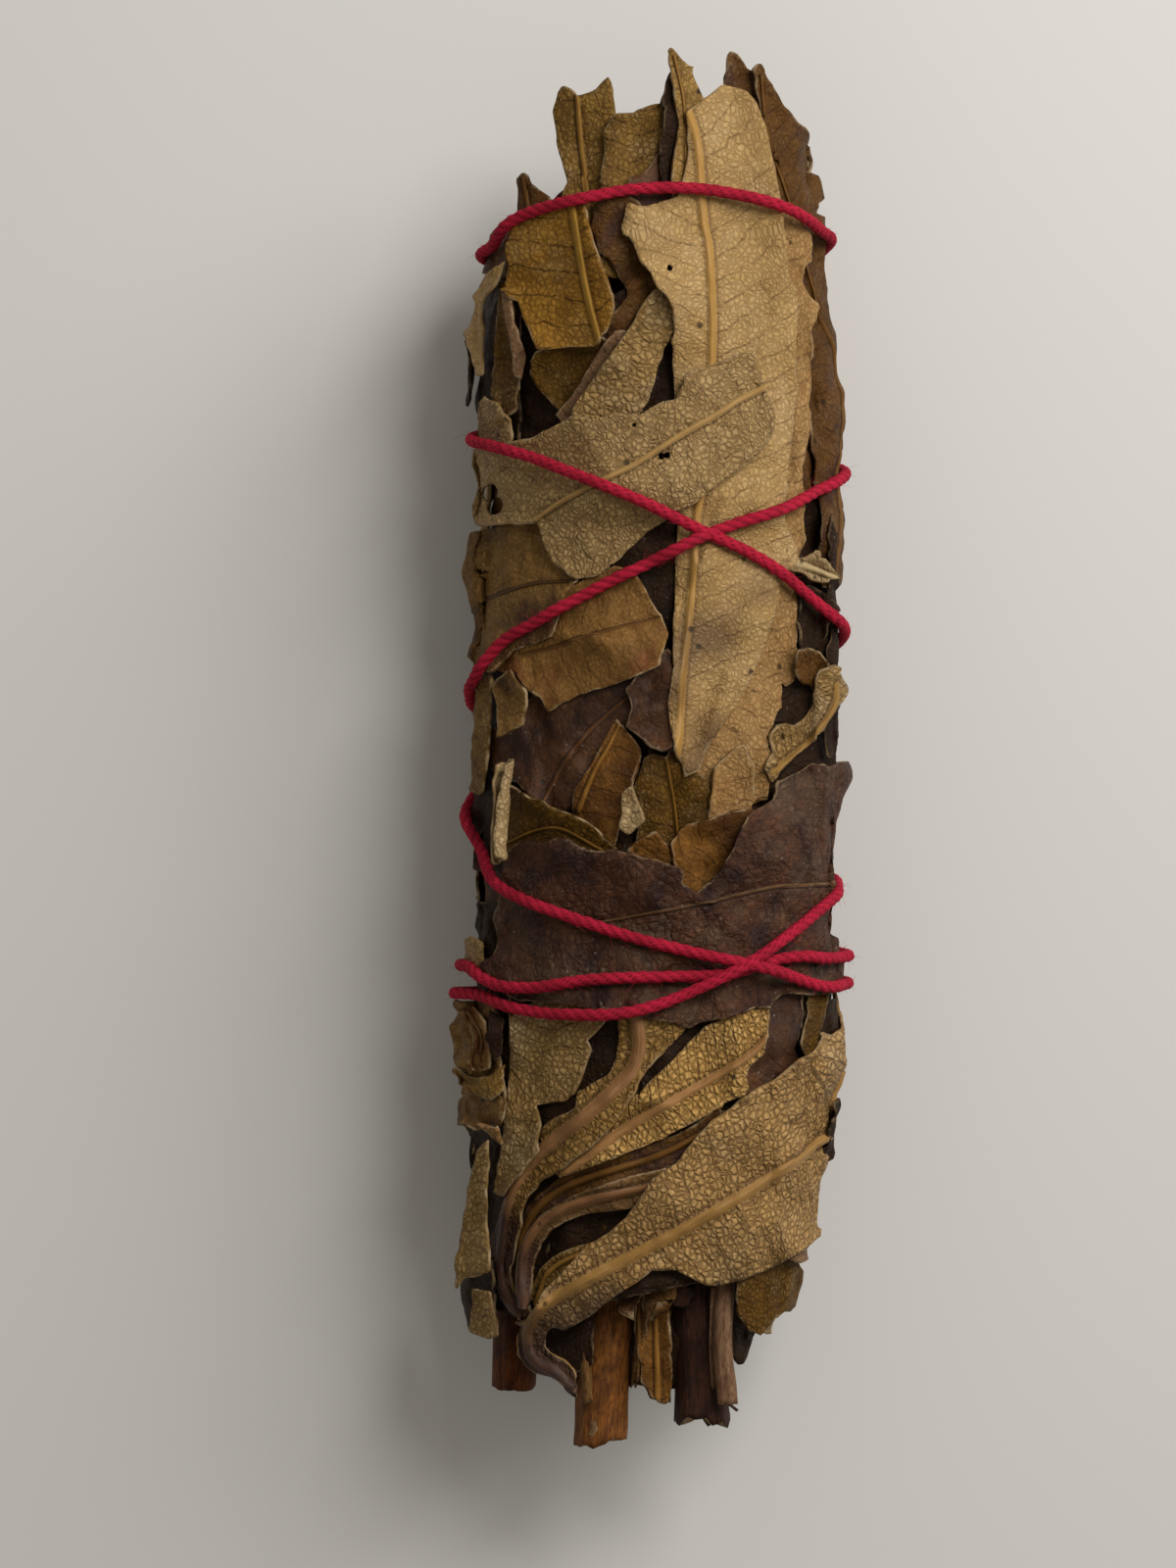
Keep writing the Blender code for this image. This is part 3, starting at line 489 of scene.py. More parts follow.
def relief(look, seed, angle, y, out, t, share):
    """What the leaf's own shape adds to its height: midrib, side veins, folds and curled edges."""
    arc = HALF_WIDTH * angle
    midrib = look.rise * np.exp(-((out / look.rib) ** 2)) if look.rib else 0
    vein = (t - np.abs(out) * look.slant) / look.spacing + 0.3 * np.sign(out)
    quilt = look.quilt * np.abs(np.sin(math.pi * vein)) * np.clip(np.abs(out) / 0.8, 0, 1)
    folds = look.crumple * (smooth_noise(arc, y, 0, 3.6, seed) + 0.45 * smooth_noise(arc, y, 5, 1.5, seed))
    edge = np.clip(np.abs(share), 0, 1) ** 4
    curl = look.curl * edge * (0.55 + 0.75 * smooth_noise(t, 3 * np.sign(out), 7, 4.5, seed))
    return midrib + quilt + folds + curl


@dataclass
class Sheet:
    """The faces of one leaf before it gets its thickness, and what its material reads."""

    corners: np.ndarray
    faces: np.ndarray
    vein: np.ndarray  # how far a point is out from the midrib and along it, then a number of the leaf's own
    mask: np.ndarray  # share of midrib, of torn edge and of shade
    skin: str
    spacing: float
    slant: float


def add_piece(name, data, replaced, slot_name):
    """Adds a piece that rides on root, and hides the solids that it stands for. Its slot name is not used."""
    piece = bpy.data.objects.new(name, data)
    bpy.context.scene.collection.objects.link(piece)
    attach(piece, "root")
    if replaced:
        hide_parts(*replaced)
    return piece


def add_veins(mesh, values):
    """Stores what the veins are laid by at each corner of a mesh."""
    layer = mesh.attributes.new("vein", "FLOAT_VECTOR", "POINT")
    layer.data.foreach_set("vector", np.ascontiguousarray(values, np.float32).ravel())


def add_mask(mesh, values):
    """Stores the masks of a mesh, four values for each corner."""
    layer = mesh.attributes.new("mask", "FLOAT_COLOR", "POINT")
    layer.data.foreach_set("color", np.ascontiguousarray(values, np.float32).ravel())


def add_sheets(name, sheets, thickness, replaced=(), offset=-1):
    """Adds one piece that is made of sheets, and gives it the thickness of a leaf."""
    name = dressed(name, replaced)
    kinds = list(dict.fromkeys((sheet.skin, sheet.spacing, sheet.slant) for sheet in sheets))
    corners, faces, slots, veins, masks = [], [], [], [], []
    count = 0
    for sheet in sheets:
        used, numbers = np.unique(sheet.faces, return_inverse=True)
        faces += (numbers.reshape(sheet.faces.shape) + count).tolist()
        slots += [2 * kinds.index((sheet.skin, sheet.spacing, sheet.slant))] * len(sheet.faces)
        for store, values in ((corners, sheet.corners), (veins, sheet.vein), (masks, sheet.mask)):
            store.append(values[used])
        count += len(used)
    mesh = bpy.data.meshes.new(name)
    mesh.from_pydata((np.concatenate(corners) * MM).tolist(), [], faces)
    add_veins(mesh, np.concatenate(veins))
    add_mask(mesh, np.concatenate([np.concatenate(masks), np.ones((count, 1))], axis=1))
    for skin, spacing, slant in kinds:
        mesh.materials.append(leaf_material(skin, spacing, slant))
        mesh.materials.append(torn_edge_material(skin))
    mesh.polygons.foreach_set("material_index", slots)
    mesh.shade_smooth()
    piece = add_piece(name, mesh, replaced, SKINS[sheets[0].skin].slot)
    solidify = piece.modifiers.new("thickness", "SOLIDIFY")
    solidify.thickness = thickness * MM
    solidify.offset = offset
    solidify.material_offset_rim = 1
    return piece


def lay_leaf(leaf, look, heap, seed, step, thickness, gap, level=None):
    """Makes the sheet of one leaf, laid over the heap at the height of its solid, and adds it to the heap."""
    stations = np.array(leaf.stations, float)
    nominal = angle_at(stations[:, 0], stations[:, 1], MIDDLE_LAYER) + math.radians(leaf.turn)
    tree = solid_tree(leaf.name) if own_solid(leaf.name) else None
    if level is not None:
        own = np.full(len(stations), float(level))
    elif tree:
        found = solid_height(tree, nominal, stations[:, 1])
        base = np.nanmean(found) if np.isfinite(found).any() else MIDDLE_LAYER
        own = np.where(np.isnan(found), base, found) + leaf.roll
    else:
        own = heap.height(nominal, stations[:, 1]) + gap + thickness + leaf.roll
    angle, y, rise, out, t, share = leaf_lattice(leaf, look, seed, own, step)
    row_step = np.abs(np.diff(t, axis=0)).mean()
    column_step = max(0.1, np.abs(np.diff(out, axis=1)).mean())
    needed = heap.height(angle, y) + gap + thickness if level is None else np.full(angle.shape, float(level))
    height = filled(solid_height(tree, angle, y)) if tree else None
    if height is None or leaf.roll:
        height = np.maximum(blurred(needed, 1.5 / row_step, 1.5 / column_step), needed)
    if leaf.roll:
        height = np.broadcast_to(height.max(axis=1, keepdims=True), height.shape)
        height = blurred(height, 2.5 / row_step, 0.1)
    height = blurred(height, 1.3 / row_step, 1.3 / column_step)
    height = height + relief(look, seed, angle, y, out, t, share)
    if level is None:
        lift = np.clip(needed - height, 0, None)
        height = height + np.maximum(lift, blurred(lift, 0.8 / row_step, 0.8 / column_step))
    height = height + rise
    if leaf.rests:
        _, z, _, normal_z = section(angle)
        floor = (UNDERSIDE + taper(y)[1] * (z + HALF_HEIGHT)) / -normal_z
        height = np.minimum(height, floor)
    if level is None:
        heap.add(angle, y, height)
    points = place(angle, y, height)
    rib_mask = np.exp(-((out / (1.15 * max(look.rib, 0.02))) ** 2)) * (look.rib > 0)
    reach = np.abs(out / np.where(share == 0, 1, share))
    from_edge = np.minimum((1 - np.abs(share)) * reach, np.minimum(t, t.max() - t) + 0.1)
    shade = shade_of(HALF_WIDTH * angle, y, seed)
    index = np.arange(angle.size).reshape(angle.shape)
    faces = np.stack([index[:-1, :-1], index[1:, :-1], index[1:, 1:], index[:-1, 1:]], axis=-1)
    i, j = np.array(angle.shape) // 2
    normal = np.cross(points[i + 1, j] - points[i, j], points[i, j + 1] - points[i, j])
    if normal @ (place(angle[i, j], y[i, j], height[i, j] + 1) - points[i, j]) < 0:
        faces = faces[..., ::-1]
    vein = np.stack([out, t, np.full_like(t, 7.0 * seed)], axis=-1)
    mask = np.stack([rib_mask, np.exp(-from_edge / 0.35), shade], axis=-1)
    points, vein, mask = (grid.reshape(-1, 3) for grid in (points, vein, mask))
    return Sheet(points, faces.reshape(-1, 4), vein, mask, look.skin, look.spacing, look.slant)


def dress_leaf(leaf, look, heap, seed, step, thickness, gap):
    """Makes one leaf, laid over the heap, as a piece of its own."""
    sheet = lay_leaf(leaf, look, heap, seed, step, thickness, gap)
    return add_sheets(leaf.name, [sheet], thickness, own_solid(leaf.name), 1 if leaf.roll else -1)


def inner_scraps(end, reach):
    """Crumpled leaves inside one end of the bundle, which show where it is open: each leaf, its look and
    its level under the section."""
    rng = np.random.default_rng(21 if end == "tips" else 22)
    skins = ("umber", "dark", "gold", "brown")
    for ring, (level, count) in enumerate(((-0.7, 6), (-2.4, 5), (-4.2, 4))):
        for i in range(count):
            turn = 360 * (i + 0.5 * (ring % 2)) / count + rng.uniform(-12, 12)
            tip = reach + rng.uniform(-1.6, 1.6) - math.copysign(0.6 * ring, reach)
            back = tip - math.copysign(20, reach)
            half = rng.uniform(4.2, 5.6)
            stations = ((0, back, half, half), (rng.uniform(-1, 1), (tip + back) / 2, half, half),
                        (rng.uniform(-1.5, 1.5), tip, 0.6 * half, 0.5 * half))
            skin = skins[(i + ring) % len(skins)]
            look = Look(skin, rib=0.25, torn=0.5, ends=1.8, crumple=0.9, curl=0.6, quilt=0.2)
            yield Leaf(f"scrap_{ring}_{i}", stations, turn=turn), look, level


def side_scraps(side):
    """Torn pieces of leaf that lie over one another down one side: each leaf and its look."""
    rng = np.random.default_rng(8 + side)
    skins = ("gold", "umber", "mid", "plum", "rough", "brown", "olive", "caramel")
    for i in range(SCRAPS_A_SIDE):
        y = -42 + 84 * (i + 0.5) / SCRAPS_A_SIDE + rng.uniform(-2.5, 2.5)
        turn = side * rng.choice((108, 120, 134))
        run, drift = rng.uniform(4, 8), rng.uniform(-3, 3)
        half = rng.uniform(2.0, 3.4)
        stations = ((-drift, y - run, 0.6 * half, 0.5 * half), (0, y, half, 0.9 * half),
                    (drift, y + run, 0.5 * half, 0.6 * half))
        look = Look(skins[rng.integers(len(skins))], rib=0.22, torn=0.35, ends=1.2, crumple=0.4, curl=0.5)
        yield Leaf(f"scrap_{i}", stations, turn=turn), look


# --- Blades: leaves drawn by their outline ---


@dataclass(frozen=True)
class Blade:
    """A leaf or a piece of one. Its outline and its midrib are x and y of each point as seen from above;
    all of its lengths are in millimetres."""

    name: str
    skin: str
    outline: tuple
    midrib: tuple
    ribbed: float = 0.0  # half width of the midrib at its first point
    taper: float = 0.6  # share of that width left at its last point
    rise: float = 0.25  # how far the midrib stands out
    torn: float = 0.14  # raggedness of the outline
    curl: float = 0.4  # how far its edges stand up
    crumple: float = 0.3  # depth of its folds
    quilt: float = 0.12  # bulge of the blade between side veins
    slant: float = 0.3  # how far the side veins run up for each millimetre out
    spacing: float = 2.0  # between side veins
    lift: float = 0.0  # further height over what lies under it
    level: float = None  # height over the section, for what hangs free of the heap
    dim: tuple = None  # the two y between which it turns dark
    holes: tuple = ()  # x, y and radius of each hole
    replaced: tuple = ()  # the solids that it stands for, where they aren't of its own name


def nearest_on(points, line, closed=False, batch=2000):
    """How far each point lies from a line, on which side of it, and how far along."""
    if closed:
        line = np.concatenate([line, line[:1]])
    start, run = line[:-1], np.diff(line, axis=0)
    length = np.hypot(run[:, 0], run[:, 1]) + 1e-9
    travel = np.concatenate([[0], np.cumsum(length)])
    apart, side, along = (np.empty(len(points)) for _ in range(3))
    for first in range(0, len(points), batch):
        part = slice(first, first + batch)
        away = points[part, None] - start
        share = np.clip((away * run).sum(axis=-1) / length**2, 0, 1)
        rest = away - share[..., None] * run
        distance = np.hypot(rest[..., 0], rest[..., 1])
        best = distance.argmin(axis=1)
        row = np.arange(len(best))
        apart[part] = distance[row, best]
        side[part] = np.sign(run[best, 0] * away[row, best, 1] - run[best, 1] * away[row, best, 0])
        along[part] = travel[best] + share[row, best] * length[best]
    return apart, np.where(side == 0, 1, side), along


def inside_of(points, outline):
    """Which points lie within a closed outline."""
    found = np.zeros(len(points), bool)
    for a, b in zip(outline, np.roll(outline, -1, axis=0)):
        if a[1] != b[1]:
            crosses = (a[1] > points[:, 1]) != (b[1] > points[:, 1])
            found ^= crosses & (points[:, 0] < a[0] + (points[:, 1] - a[1]) * (b[0] - a[0]) / (b[1] - a[1]))
    return found


def even_line(line, step):
    """A line with a point at every step of its length."""
    travel = np.concatenate([[0], np.cumsum(np.hypot(*np.diff(line, axis=0).T))])
    at = np.linspace(0, travel[-1], max(2, int(travel[-1] / step) + 1))
    return np.stack([np.interp(at, travel, line[:, 0]), np.interp(at, travel, line[:, 1])], axis=1)


def torn_outline(outline, torn, seed, step):
    """An outline with small ragged teeth."""
    line = even_line(np.concatenate([outline, outline[:1]]), step)[:-1]
    ahead = np.roll(line, -1, axis=0) - np.roll(line, 1, axis=0)
    out = np.stack([ahead[:, 1], -ahead[:, 0]], axis=1) / (np.hypot(ahead[:, 0], ahead[:, 1]) + 1e-9)[:, None]
    bite = 0.7 * smooth_noise(line[:, 0], line[:, 1], 0, 1.9, seed)
    bite = bite + 0.75 * smooth_noise(line[:, 0], line[:, 1], 4, 0.7, seed)
    return line + torn * bite[:, None] * out


ROW_SPACING = 0.866  # of the net's rows, for each step across: that of even triangles
RAILS = (-2.0, -1.4, -1.0, -0.5, 0, 0.5, 1.0, 1.4, 2.0)  # rows along a midrib, in its half widths


def net_of_triangles(outline, rib, width, step):
    """Points and triangles that fill an outline, with rows of points along its midrib."""
    low, high = outline.min(axis=0), outline.max(axis=0)
    rows = np.arange(low[1], high[1], ROW_SPACING * step)
    columns = np.arange(low[0], high[0], step)
    x, y = np.meshgrid(columns, rows)
    x = x + np.where(np.arange(len(rows)) % 2, 0.5 * step, 0)[:, None]
    inner = np.stack([x.ravel(), y.ravel()], axis=1)
    inner += 0.16 * step * np.stack([smooth_noise(x, y, k, 0.3) for k in (9, 19)], axis=-1).reshape(-1, 2)
    inner = inner[inside_of(inner, outline)]
    if width.max() > 0 and len(inner):
        apart, _, along = nearest_on(inner, rib)
        broad = np.interp(along, np.linspace(0, along.max() + 1e-6, len(width)), width)
        inner = inner[apart > 2.0 * broad + 0.3 * step]
        ahead = np.gradient(rib, axis=0)
        aside = np.stack([ahead[:, 1], -ahead[:, 0]], axis=1) / np.hypot(ahead[:, 0], ahead[:, 1])[:, None]
        rails = np.concatenate([rib + k * width[:, None] * aside for k in RAILS])
        inner = np.concatenate([inner, rails[inside_of(rails, outline)]])
    if len(inner):
        inner = inner[nearest_on(inner, outline, closed=True)[0] > 0.3 * step]
    points = np.concatenate([outline, inner])
    edges = [(i, (i + 1) % len(outline)) for i in range(len(outline))]
    found = delaunay_2d_cdt([Vector(p) for p in points.tolist()], edges, [], 0, 1e-4)
    points, triangles = np.array([tuple(p) for p in found[0]]), np.array(found[2])
    return points, triangles[inside_of(points[triangles].mean(axis=1), outline)]


def arc_from_above(x, y, height):
    """The arc length at which something seen from above at x lies. What is drawn past the bundle's
    widest place goes on down its side."""
    shift, scale = taper(y)
    limit = scale * HALF_WIDTH + height
    across = np.clip(x - shift, -limit, limit)
    return arc_at(angle_at(shift + across, y, height), y) + (x - shift - across)


def grid_sampler(grid, arcs, ys):
    """A function that reads a grid between its points."""

    def read(arc, y):
        a = np.clip((arc - arcs[0]) / (arcs[1] - arcs[0]), 0, len(arcs) - 1.001)
        b = np.clip((y - ys[0]) / (ys[1] - ys[0]), 0, len(ys) - 1.001)
        i, j = a.astype(int), b.astype(int)
        a, b = a - i, b - j
        return ((1 - b) * ((1 - a) * grid[j, i] + a * grid[j, i + 1])
                + b * ((1 - a) * grid[j + 1, i] + a * grid[j + 1, i + 1]))

    return read


def lie_of(blade, tree, outline, heap, clear):
    """The height at which a blade lies, as a function of arc length and y."""
    step = 0.5
    low, high = outline.min(axis=0) - 1, outline.max(axis=0) + 1
    arcs, ys = (np.arange(a, b + 3 * step, step) for a, b in zip(low, high))
    arc, y = np.meshgrid(arcs, ys)
    angle = angle_of_arc(arc.ravel(), y.ravel()).reshape(arc.shape)
    needed = heap.height(angle, y) + clear
    height = filled(solid_height(tree, angle[::2, ::2], y[::2, ::2])) if tree else None
    if height is None:
        height = np.maximum(blurred(needed, 3, 3), needed) + blade.lift
    else:
        height = grid_sampler(height, arcs[::2], ys[::2])(arc, y) + blade.lift
    height = blurred(height, 2.0, 2.0)
    short = np.clip(needed - height, 0, None)
    height = height + np.maximum(short, blurred(short, 1.6, 1.6))
    return grid_sampler(blurred(height, 0.8, 0.8), arcs, ys)


def own_height(blade, tree, heap):
    """The height that a blade's outline is laid out at."""
    x, y = pairs(blade.outline).T
    angle = angle_at(x, y, MIDDLE_LAYER)
    found = solid_height(tree, angle, y) if tree else heap.height(angle, y) + 0.5
    return float(np.nanmean(found)) if np.isfinite(found).any() else MIDDLE_LAYER


def dress_blade(blade, heap, seed, step, thickness, gap):
    """Makes one leaf from its outline, laid over the heap at the height of its solid."""
    replaced = blade.replaced or own_solid(blade.name)
    tree = solid_tree(replaced[0]) if replaced else None
    base = own_height(blade, tree, heap) if blade.level is None else blade.level
    x, y = torn_outline(pairs(blade.outline), blade.torn, seed, 0.8 * step).T
    outline = np.stack([arc_from_above(x, y, base), y], axis=1)
    rib_points = pairs(blade.midrib)
    rib_points[:, 0] = arc_from_above(rib_points[:, 0], rib_points[:, 1], base)
    rib = even_line(smooth_curve(rib_points, np.linspace(0, 1, 80)), 0.9 * step)
    width = blade.ribbed * np.linspace(1, blade.taper, len(rib))
    points, triangles = net_of_triangles(outline, rib, width, step)
    arc, y = points.T
    outwards = (rib[0] - rib[2], rib[-1] - rib[-3])
    start, end = (way / np.hypot(*way) * PAST_THE_RIB for way in outwards)
    apart, side, along = nearest_on(points, np.concatenate([rib[:1] + start, rib, rib[-1:] + end]))
    inwards = nearest_on(points, outline, closed=True)[0]
    rib_length = np.hypot(*np.diff(rib, axis=0).T).sum()
    along = along - np.hypot(*start)
    broad = np.interp(along, np.linspace(0, rib_length, len(width)), width)
    beyond = np.maximum(-along, along - rib_length)
    broad = broad * np.clip(1 - beyond / 0.6, 0, 1)
    out = apart * side
    clear = gap + thickness
    angle = angle_of_arc(arc, y)
    lies = blade.level if blade.level is not None else lie_of(blade, tree, outline, heap, clear)(arc, y)
    folds = smooth_noise(arc, y, 0, 3.4, seed) + 0.5 * smooth_noise(arc, y, 5, 1.4, seed)
    folds = folds + 0.16 * smooth_noise(arc, y, 8, 0.6, seed)
    run = (along - apart * blade.slant) / blade.spacing + 0.3 * side
    run = run + 0.22 * smooth_noise(arc, y, 2, 2.0, seed)
    quilt = np.abs(np.sin(math.pi * run)) ** 0.7 * np.clip(apart / 0.9, 0, 1) * np.clip(inwards / 0.6, 0, 1)
    curl = np.exp(-inwards / 0.7) * (0.45 + 1.0 * smooth_noise(arc, y, 7, 3.2, seed))
    share = apart / np.maximum(broad, 0.01)
    midrib = blade.rise * np.exp(-(share**4)) - 0.1 * np.exp(-((share - 1.5) ** 2) / 0.2)
    midrib = midrib * (broad > 0)
    height = lies + blade.crumple * folds + blade.quilt * quilt + blade.curl * curl + midrib
    seen = taper(y)[0] + taper(y)[1] * section(angle)[0] + base * section(angle)[2]
    steep = np.clip((np.abs(angle) - SIDE_START) / SIDE_SPAN, 0, 1)
    angle = steep * angle + (1 - steep) * angle_at(seen, y, height)
    if blade.level is None:
        height = np.maximum(height, heap.height(angle, y) + clear)
        heap.add_triangles(angle, y, height, triangles)
    corners = place(angle, y, height)
    middle = corners[triangles].mean(axis=1)
    kept = np.ones(len(triangles), bool)
    for hole_x, hole_y, radius in blade.holes:
        away = corners[:, :2] - (hole_x, hole_y)
        inside = np.hypot(middle[:, 0] - hole_x, middle[:, 1] - hole_y) < radius
        rim = np.intersect1d(triangles[kept & inside], triangles[kept & ~inside])
        corners[rim, :2] += away[rim] * (radius / np.hypot(*away[rim].T) - 1)[:, None]
        kept &= ~inside
    triangles = triangles[kept]
    shade = shade_of(arc, y, seed)
    if blade.dim:
        shade = shade + 1.4 * np.clip((y - blade.dim[0]) / (blade.dim[1] - blade.dim[0]), 0, 1)
    rib_mask = np.exp(-((apart / np.maximum(1.1 * broad, 0.01)) ** 4)) * (broad > 0)
    vein = np.stack([out, along, np.full_like(out, 7.0 * seed)], axis=-1)
    mask = np.stack([rib_mask, np.exp(-inwards / 0.3), shade], axis=-1)
    sheet = Sheet(corners, triangles, vein, mask, blade.skin, blade.spacing, blade.slant)
    return add_sheets(blade.name, [sheet], thickness, replaced)


# --- Materials ---


class Wires:
    """Short ways to add nodes to a tree."""

    def __init__(self, tree):
        self.tree = tree

    def node(self, kind, **settings):
        node = self.tree.nodes.new(kind)
        inputs = settings.pop("inputs", {})
        for key, value in settings.items():
            setattr(node, key, value)
        for key, value in inputs.items():
            if isinstance(value, bpy.types.NodeSocket):
                self.tree.links.new(value, node.inputs[key])
            else:
                node.inputs[key].default_value = value
        return node

    def maths(self, operation, *values):
        return self.node("ShaderNodeMath", operation=operation, inputs=dict(enumerate(values))).outputs[0]

    def times(self, first, second):
        return self.maths("MULTIPLY", first, second)

    def plus(self, first, second):
        return self.maths("ADD", first, second)

    def minus(self, first, second):
        return self.maths("SUBTRACT", first, second)

    def over(self, first, second):
        return self.maths("DIVIDE", first, second)

    def stretched(self, vector, scale):
        return self.node("ShaderNodeMapping", inputs={0: vector, 3: scale}).outputs[0]

    def ramp(self, value, low, high, out_low=0.0, out_high=1.0):
        """A value taken from one range to another, and kept within it."""
        return self.node("ShaderNodeMapRange", inputs={
            0: value, 1: low, 2: high, 3: out_low, 4: out_high}).outputs[0]

    def mix(self, factor, first, second, blend="MIX"):
        return self.node("ShaderNodeMix", data_type="RGBA", blend_type=blend,
                         inputs={0: factor, 6: first, 7: second}).outputs[2]

    def noise(self, vector, scale, detail=2.0, roughness=0.5):
        return self.node("ShaderNodeTexNoise", inputs={
            "Vector": vector, "Scale": scale, "Detail": detail, "Roughness": roughness}).outputs[0]

    def edge_distance(self, vector, scale):
        """How far a point is from the border of its cell, as a share of a cell."""
        return self.node("ShaderNodeTexVoronoi", feature="DISTANCE_TO_EDGE", inputs={
            "Vector": vector, "Scale": scale, "Randomness": 1.0}).outputs["Distance"]


def new_group(name, inputs, outputs):
    """An empty shader node group with named sockets, and its wires, input and output nodes."""
    tree = bpy.data.node_groups.new(name, "ShaderNodeTree")
    for label, kind in inputs:
        tree.interface.new_socket(label, in_out="INPUT", socket_type=kind)
    for label, kind in outputs:
        tree.interface.new_socket(label, in_out="OUTPUT", socket_type=kind)
    wires = Wires(tree)
    return tree, wires, wires.node("NodeGroupInput").outputs, wires.node("NodeGroupOutput").inputs


def leaf_skin_group():
    """Blade, net of veins, midrib, edges and specks of a dried leaf, with painted highlight and painted shade
    on its raised cells and a painted shadow beside its midrib.
    """
    name = "Leaf Skin"
    if name in bpy.data.node_groups:
        return bpy.data.node_groups[name]
    colour, value, vector = "NodeSocketColor", "NodeSocketFloat", "NodeSocketVector"
    tree, w, given, result = new_group(
        name,
        (("Vein", vector), ("Mask", colour), ("Light", colour), ("Dark", colour), ("Vein Colour", colour),
         ("Rib Colour", colour), ("Edge Colour", colour), ("Stain Colour", colour), ("Net", value),
         ("Cells", value), ("Cracks", value), ("Side Veins", value), ("Stains", value), ("Bloom", value),
         ("Mottle", value), ("Spacing", value), ("Slant", value), ("Specks", value)),
        (("Colour", colour), ("Roughness", value), ("Height", value)),
    )
    place_at = given["Vein"]
    parts = w.node("ShaderNodeSeparateXYZ", inputs={0: place_at}).outputs
    masks = w.node("ShaderNodeSeparateColor", inputs={0: given["Mask"]}).outputs
    on_rib = w.ramp(masks[0], 0.35, 0.6)
    # The net: raised cells between thin dark veins, in two sizes, with a painted highlight on the cells' tops
    # and painted shade on their sides.
    bend = w.node("ShaderNodeTexNoise", inputs={"Vector": place_at, "Scale": 1.3, "Detail": 2.0}).outputs[1]
    bend = w.node("ShaderNodeVectorMath", operation="MULTIPLY_ADD", inputs={
        0: bend, 1: (0.55, 0.55, 0.0), 2: place_at}).outputs[0]
    cell = w.edge_distance(bend, given["Cells"])
    coarse = w.edge_distance(bend, w.over(given["Cells"], 3.6))
    blister = w.ramp(cell, 0.0, 0.26)
    faint = w.ramp(w.noise(place_at, 0.6, 3), 0.35, 0.65, 0.1, 1.0)
    fine = w.times(w.ramp(cell, 0.02, 0.11, 0.3, 0.0), given["Net"])
    cracks = w.times(w.ramp(coarse, 0.004, 0.028, 1.0, 0.0), given["Cracks"])
    lines = w.times(w.maths("MAXIMUM", fine, cracks), faint)
    # The side veins, which wander.
    out = w.maths("ABSOLUTE", parts[0])
    run = w.minus(parts[1], w.times(out, given["Slant"]))
    run = w.plus(w.over(run, given["Spacing"]), w.times(w.maths("SIGN", parts[0]), 0.3))
    wander = w.minus(w.noise(place_at, 0.5, 3), 0.5)
    run = w.plus(run, w.times(wander, 0.75))
    side_vein = w.maths("ABSOLUTE", w.minus(w.maths("FRACT", run), 0.5))
    side_vein = w.over(side_vein, w.over(1.0, given["Spacing"]))
    side_vein = w.times(w.ramp(side_vein, 0.03, 0.13, 1.0, 0.0), w.ramp(w.noise(place_at, 0.7, 2), 0.3, 0.5))
    # Colour.
    blotch = w.times(w.ramp(w.noise(place_at, 0.26, 5, 0.62), 0.36, 0.64), given["Mottle"])
    blotch = w.maths("MAXIMUM", blotch, w.ramp(masks[2], 0.6, 1.3))
    patch = w.times(w.ramp(w.noise(place_at, 0.95, 5, 0.72), 0.42, 0.62, 0.0, 0.7), given["Mottle"])
    base = w.mix(w.maths("MAXIMUM", blotch, patch), given["Light"], given["Dark"])
    grain = w.noise(place_at, 4.5, 4, 0.7)
    base = w.mix(w.ramp(grain, 0.42, 0.68, 0.0, 0.55), base, given["Dark"])
    stain = w.times(w.ramp(w.noise(place_at, 0.17, 5, 0.66), 0.5, 0.66), given["Stains"])
    base = w.mix(stain, base, given["Stain Colour"])
    # Painted shade: the sides of the raised cells are darkened towards the veins.
    low = w.mix(1.0, base, (0.70, 0.64, 0.54, 1.0), "MULTIPLY")
    blade = w.mix(w.times(given["Net"], w.minus(1.0, blister)), base, low)
    # Painted highlight: the tops of the raised cells are brightened.
    glint = w.times(given["Net"], w.ramp(cell, 0.07, 0.28, 0.0, 0.9))
    blade = w.mix(glint, blade, w.mix(1.0, base, (1.42, 1.45, 1.5, 1.0), "MULTIPLY"))
    # Patches of painted whitish highlight on the tops of the raised cells.
    glint_patches = w.times(w.ramp(w.noise(place_at, 0.33, 5, 0.7), 0.52, 0.72), given["Bloom"])
    glint_patches = w.times(glint_patches, w.ramp(cell, 0.05, 0.3, 0.15, 1.0))
    blade = w.mix(glint_patches, blade, (0.50, 0.38, 0.21, 1.0))
    blade = w.mix(lines, blade, given["Vein Colour"])
    blade = w.mix(w.times(side_vein, given["Side Veins"]), blade, given["Vein Colour"])
    # Painted shadow: a dark line along the raised midrib, stronger on one side of it.
    rib_shadow = w.times(w.ramp(masks[0], 0.0, 0.03), w.ramp(masks[0], 0.25, 0.5, 1.0, 0.0))
    rib_shadow = w.times(rib_shadow, w.ramp(parts[0], -0.1, 0.1, 0.15, 0.6))
    blade = w.mix(rib_shadow, blade, given["Vein Colour"])
    streak = w.noise(w.stretched(place_at, (6.0, 0.45, 1.0)), 1.0, 4, 0.6)
    rib = w.mix(w.ramp(streak, 0.42, 0.68, 0.0, 0.35), given["Rib Colour"], given["Vein Colour"])
    blade = w.mix(on_rib, blade, rib)
    stalk = w.mix(w.ramp(streak, 0.35, 0.65), (0.075, 0.033, 0.017, 1.0), (0.028, 0.012, 0.008, 1.0))
    blade = w.mix(w.ramp(masks[2], 1.05, 1.75), blade, stalk)
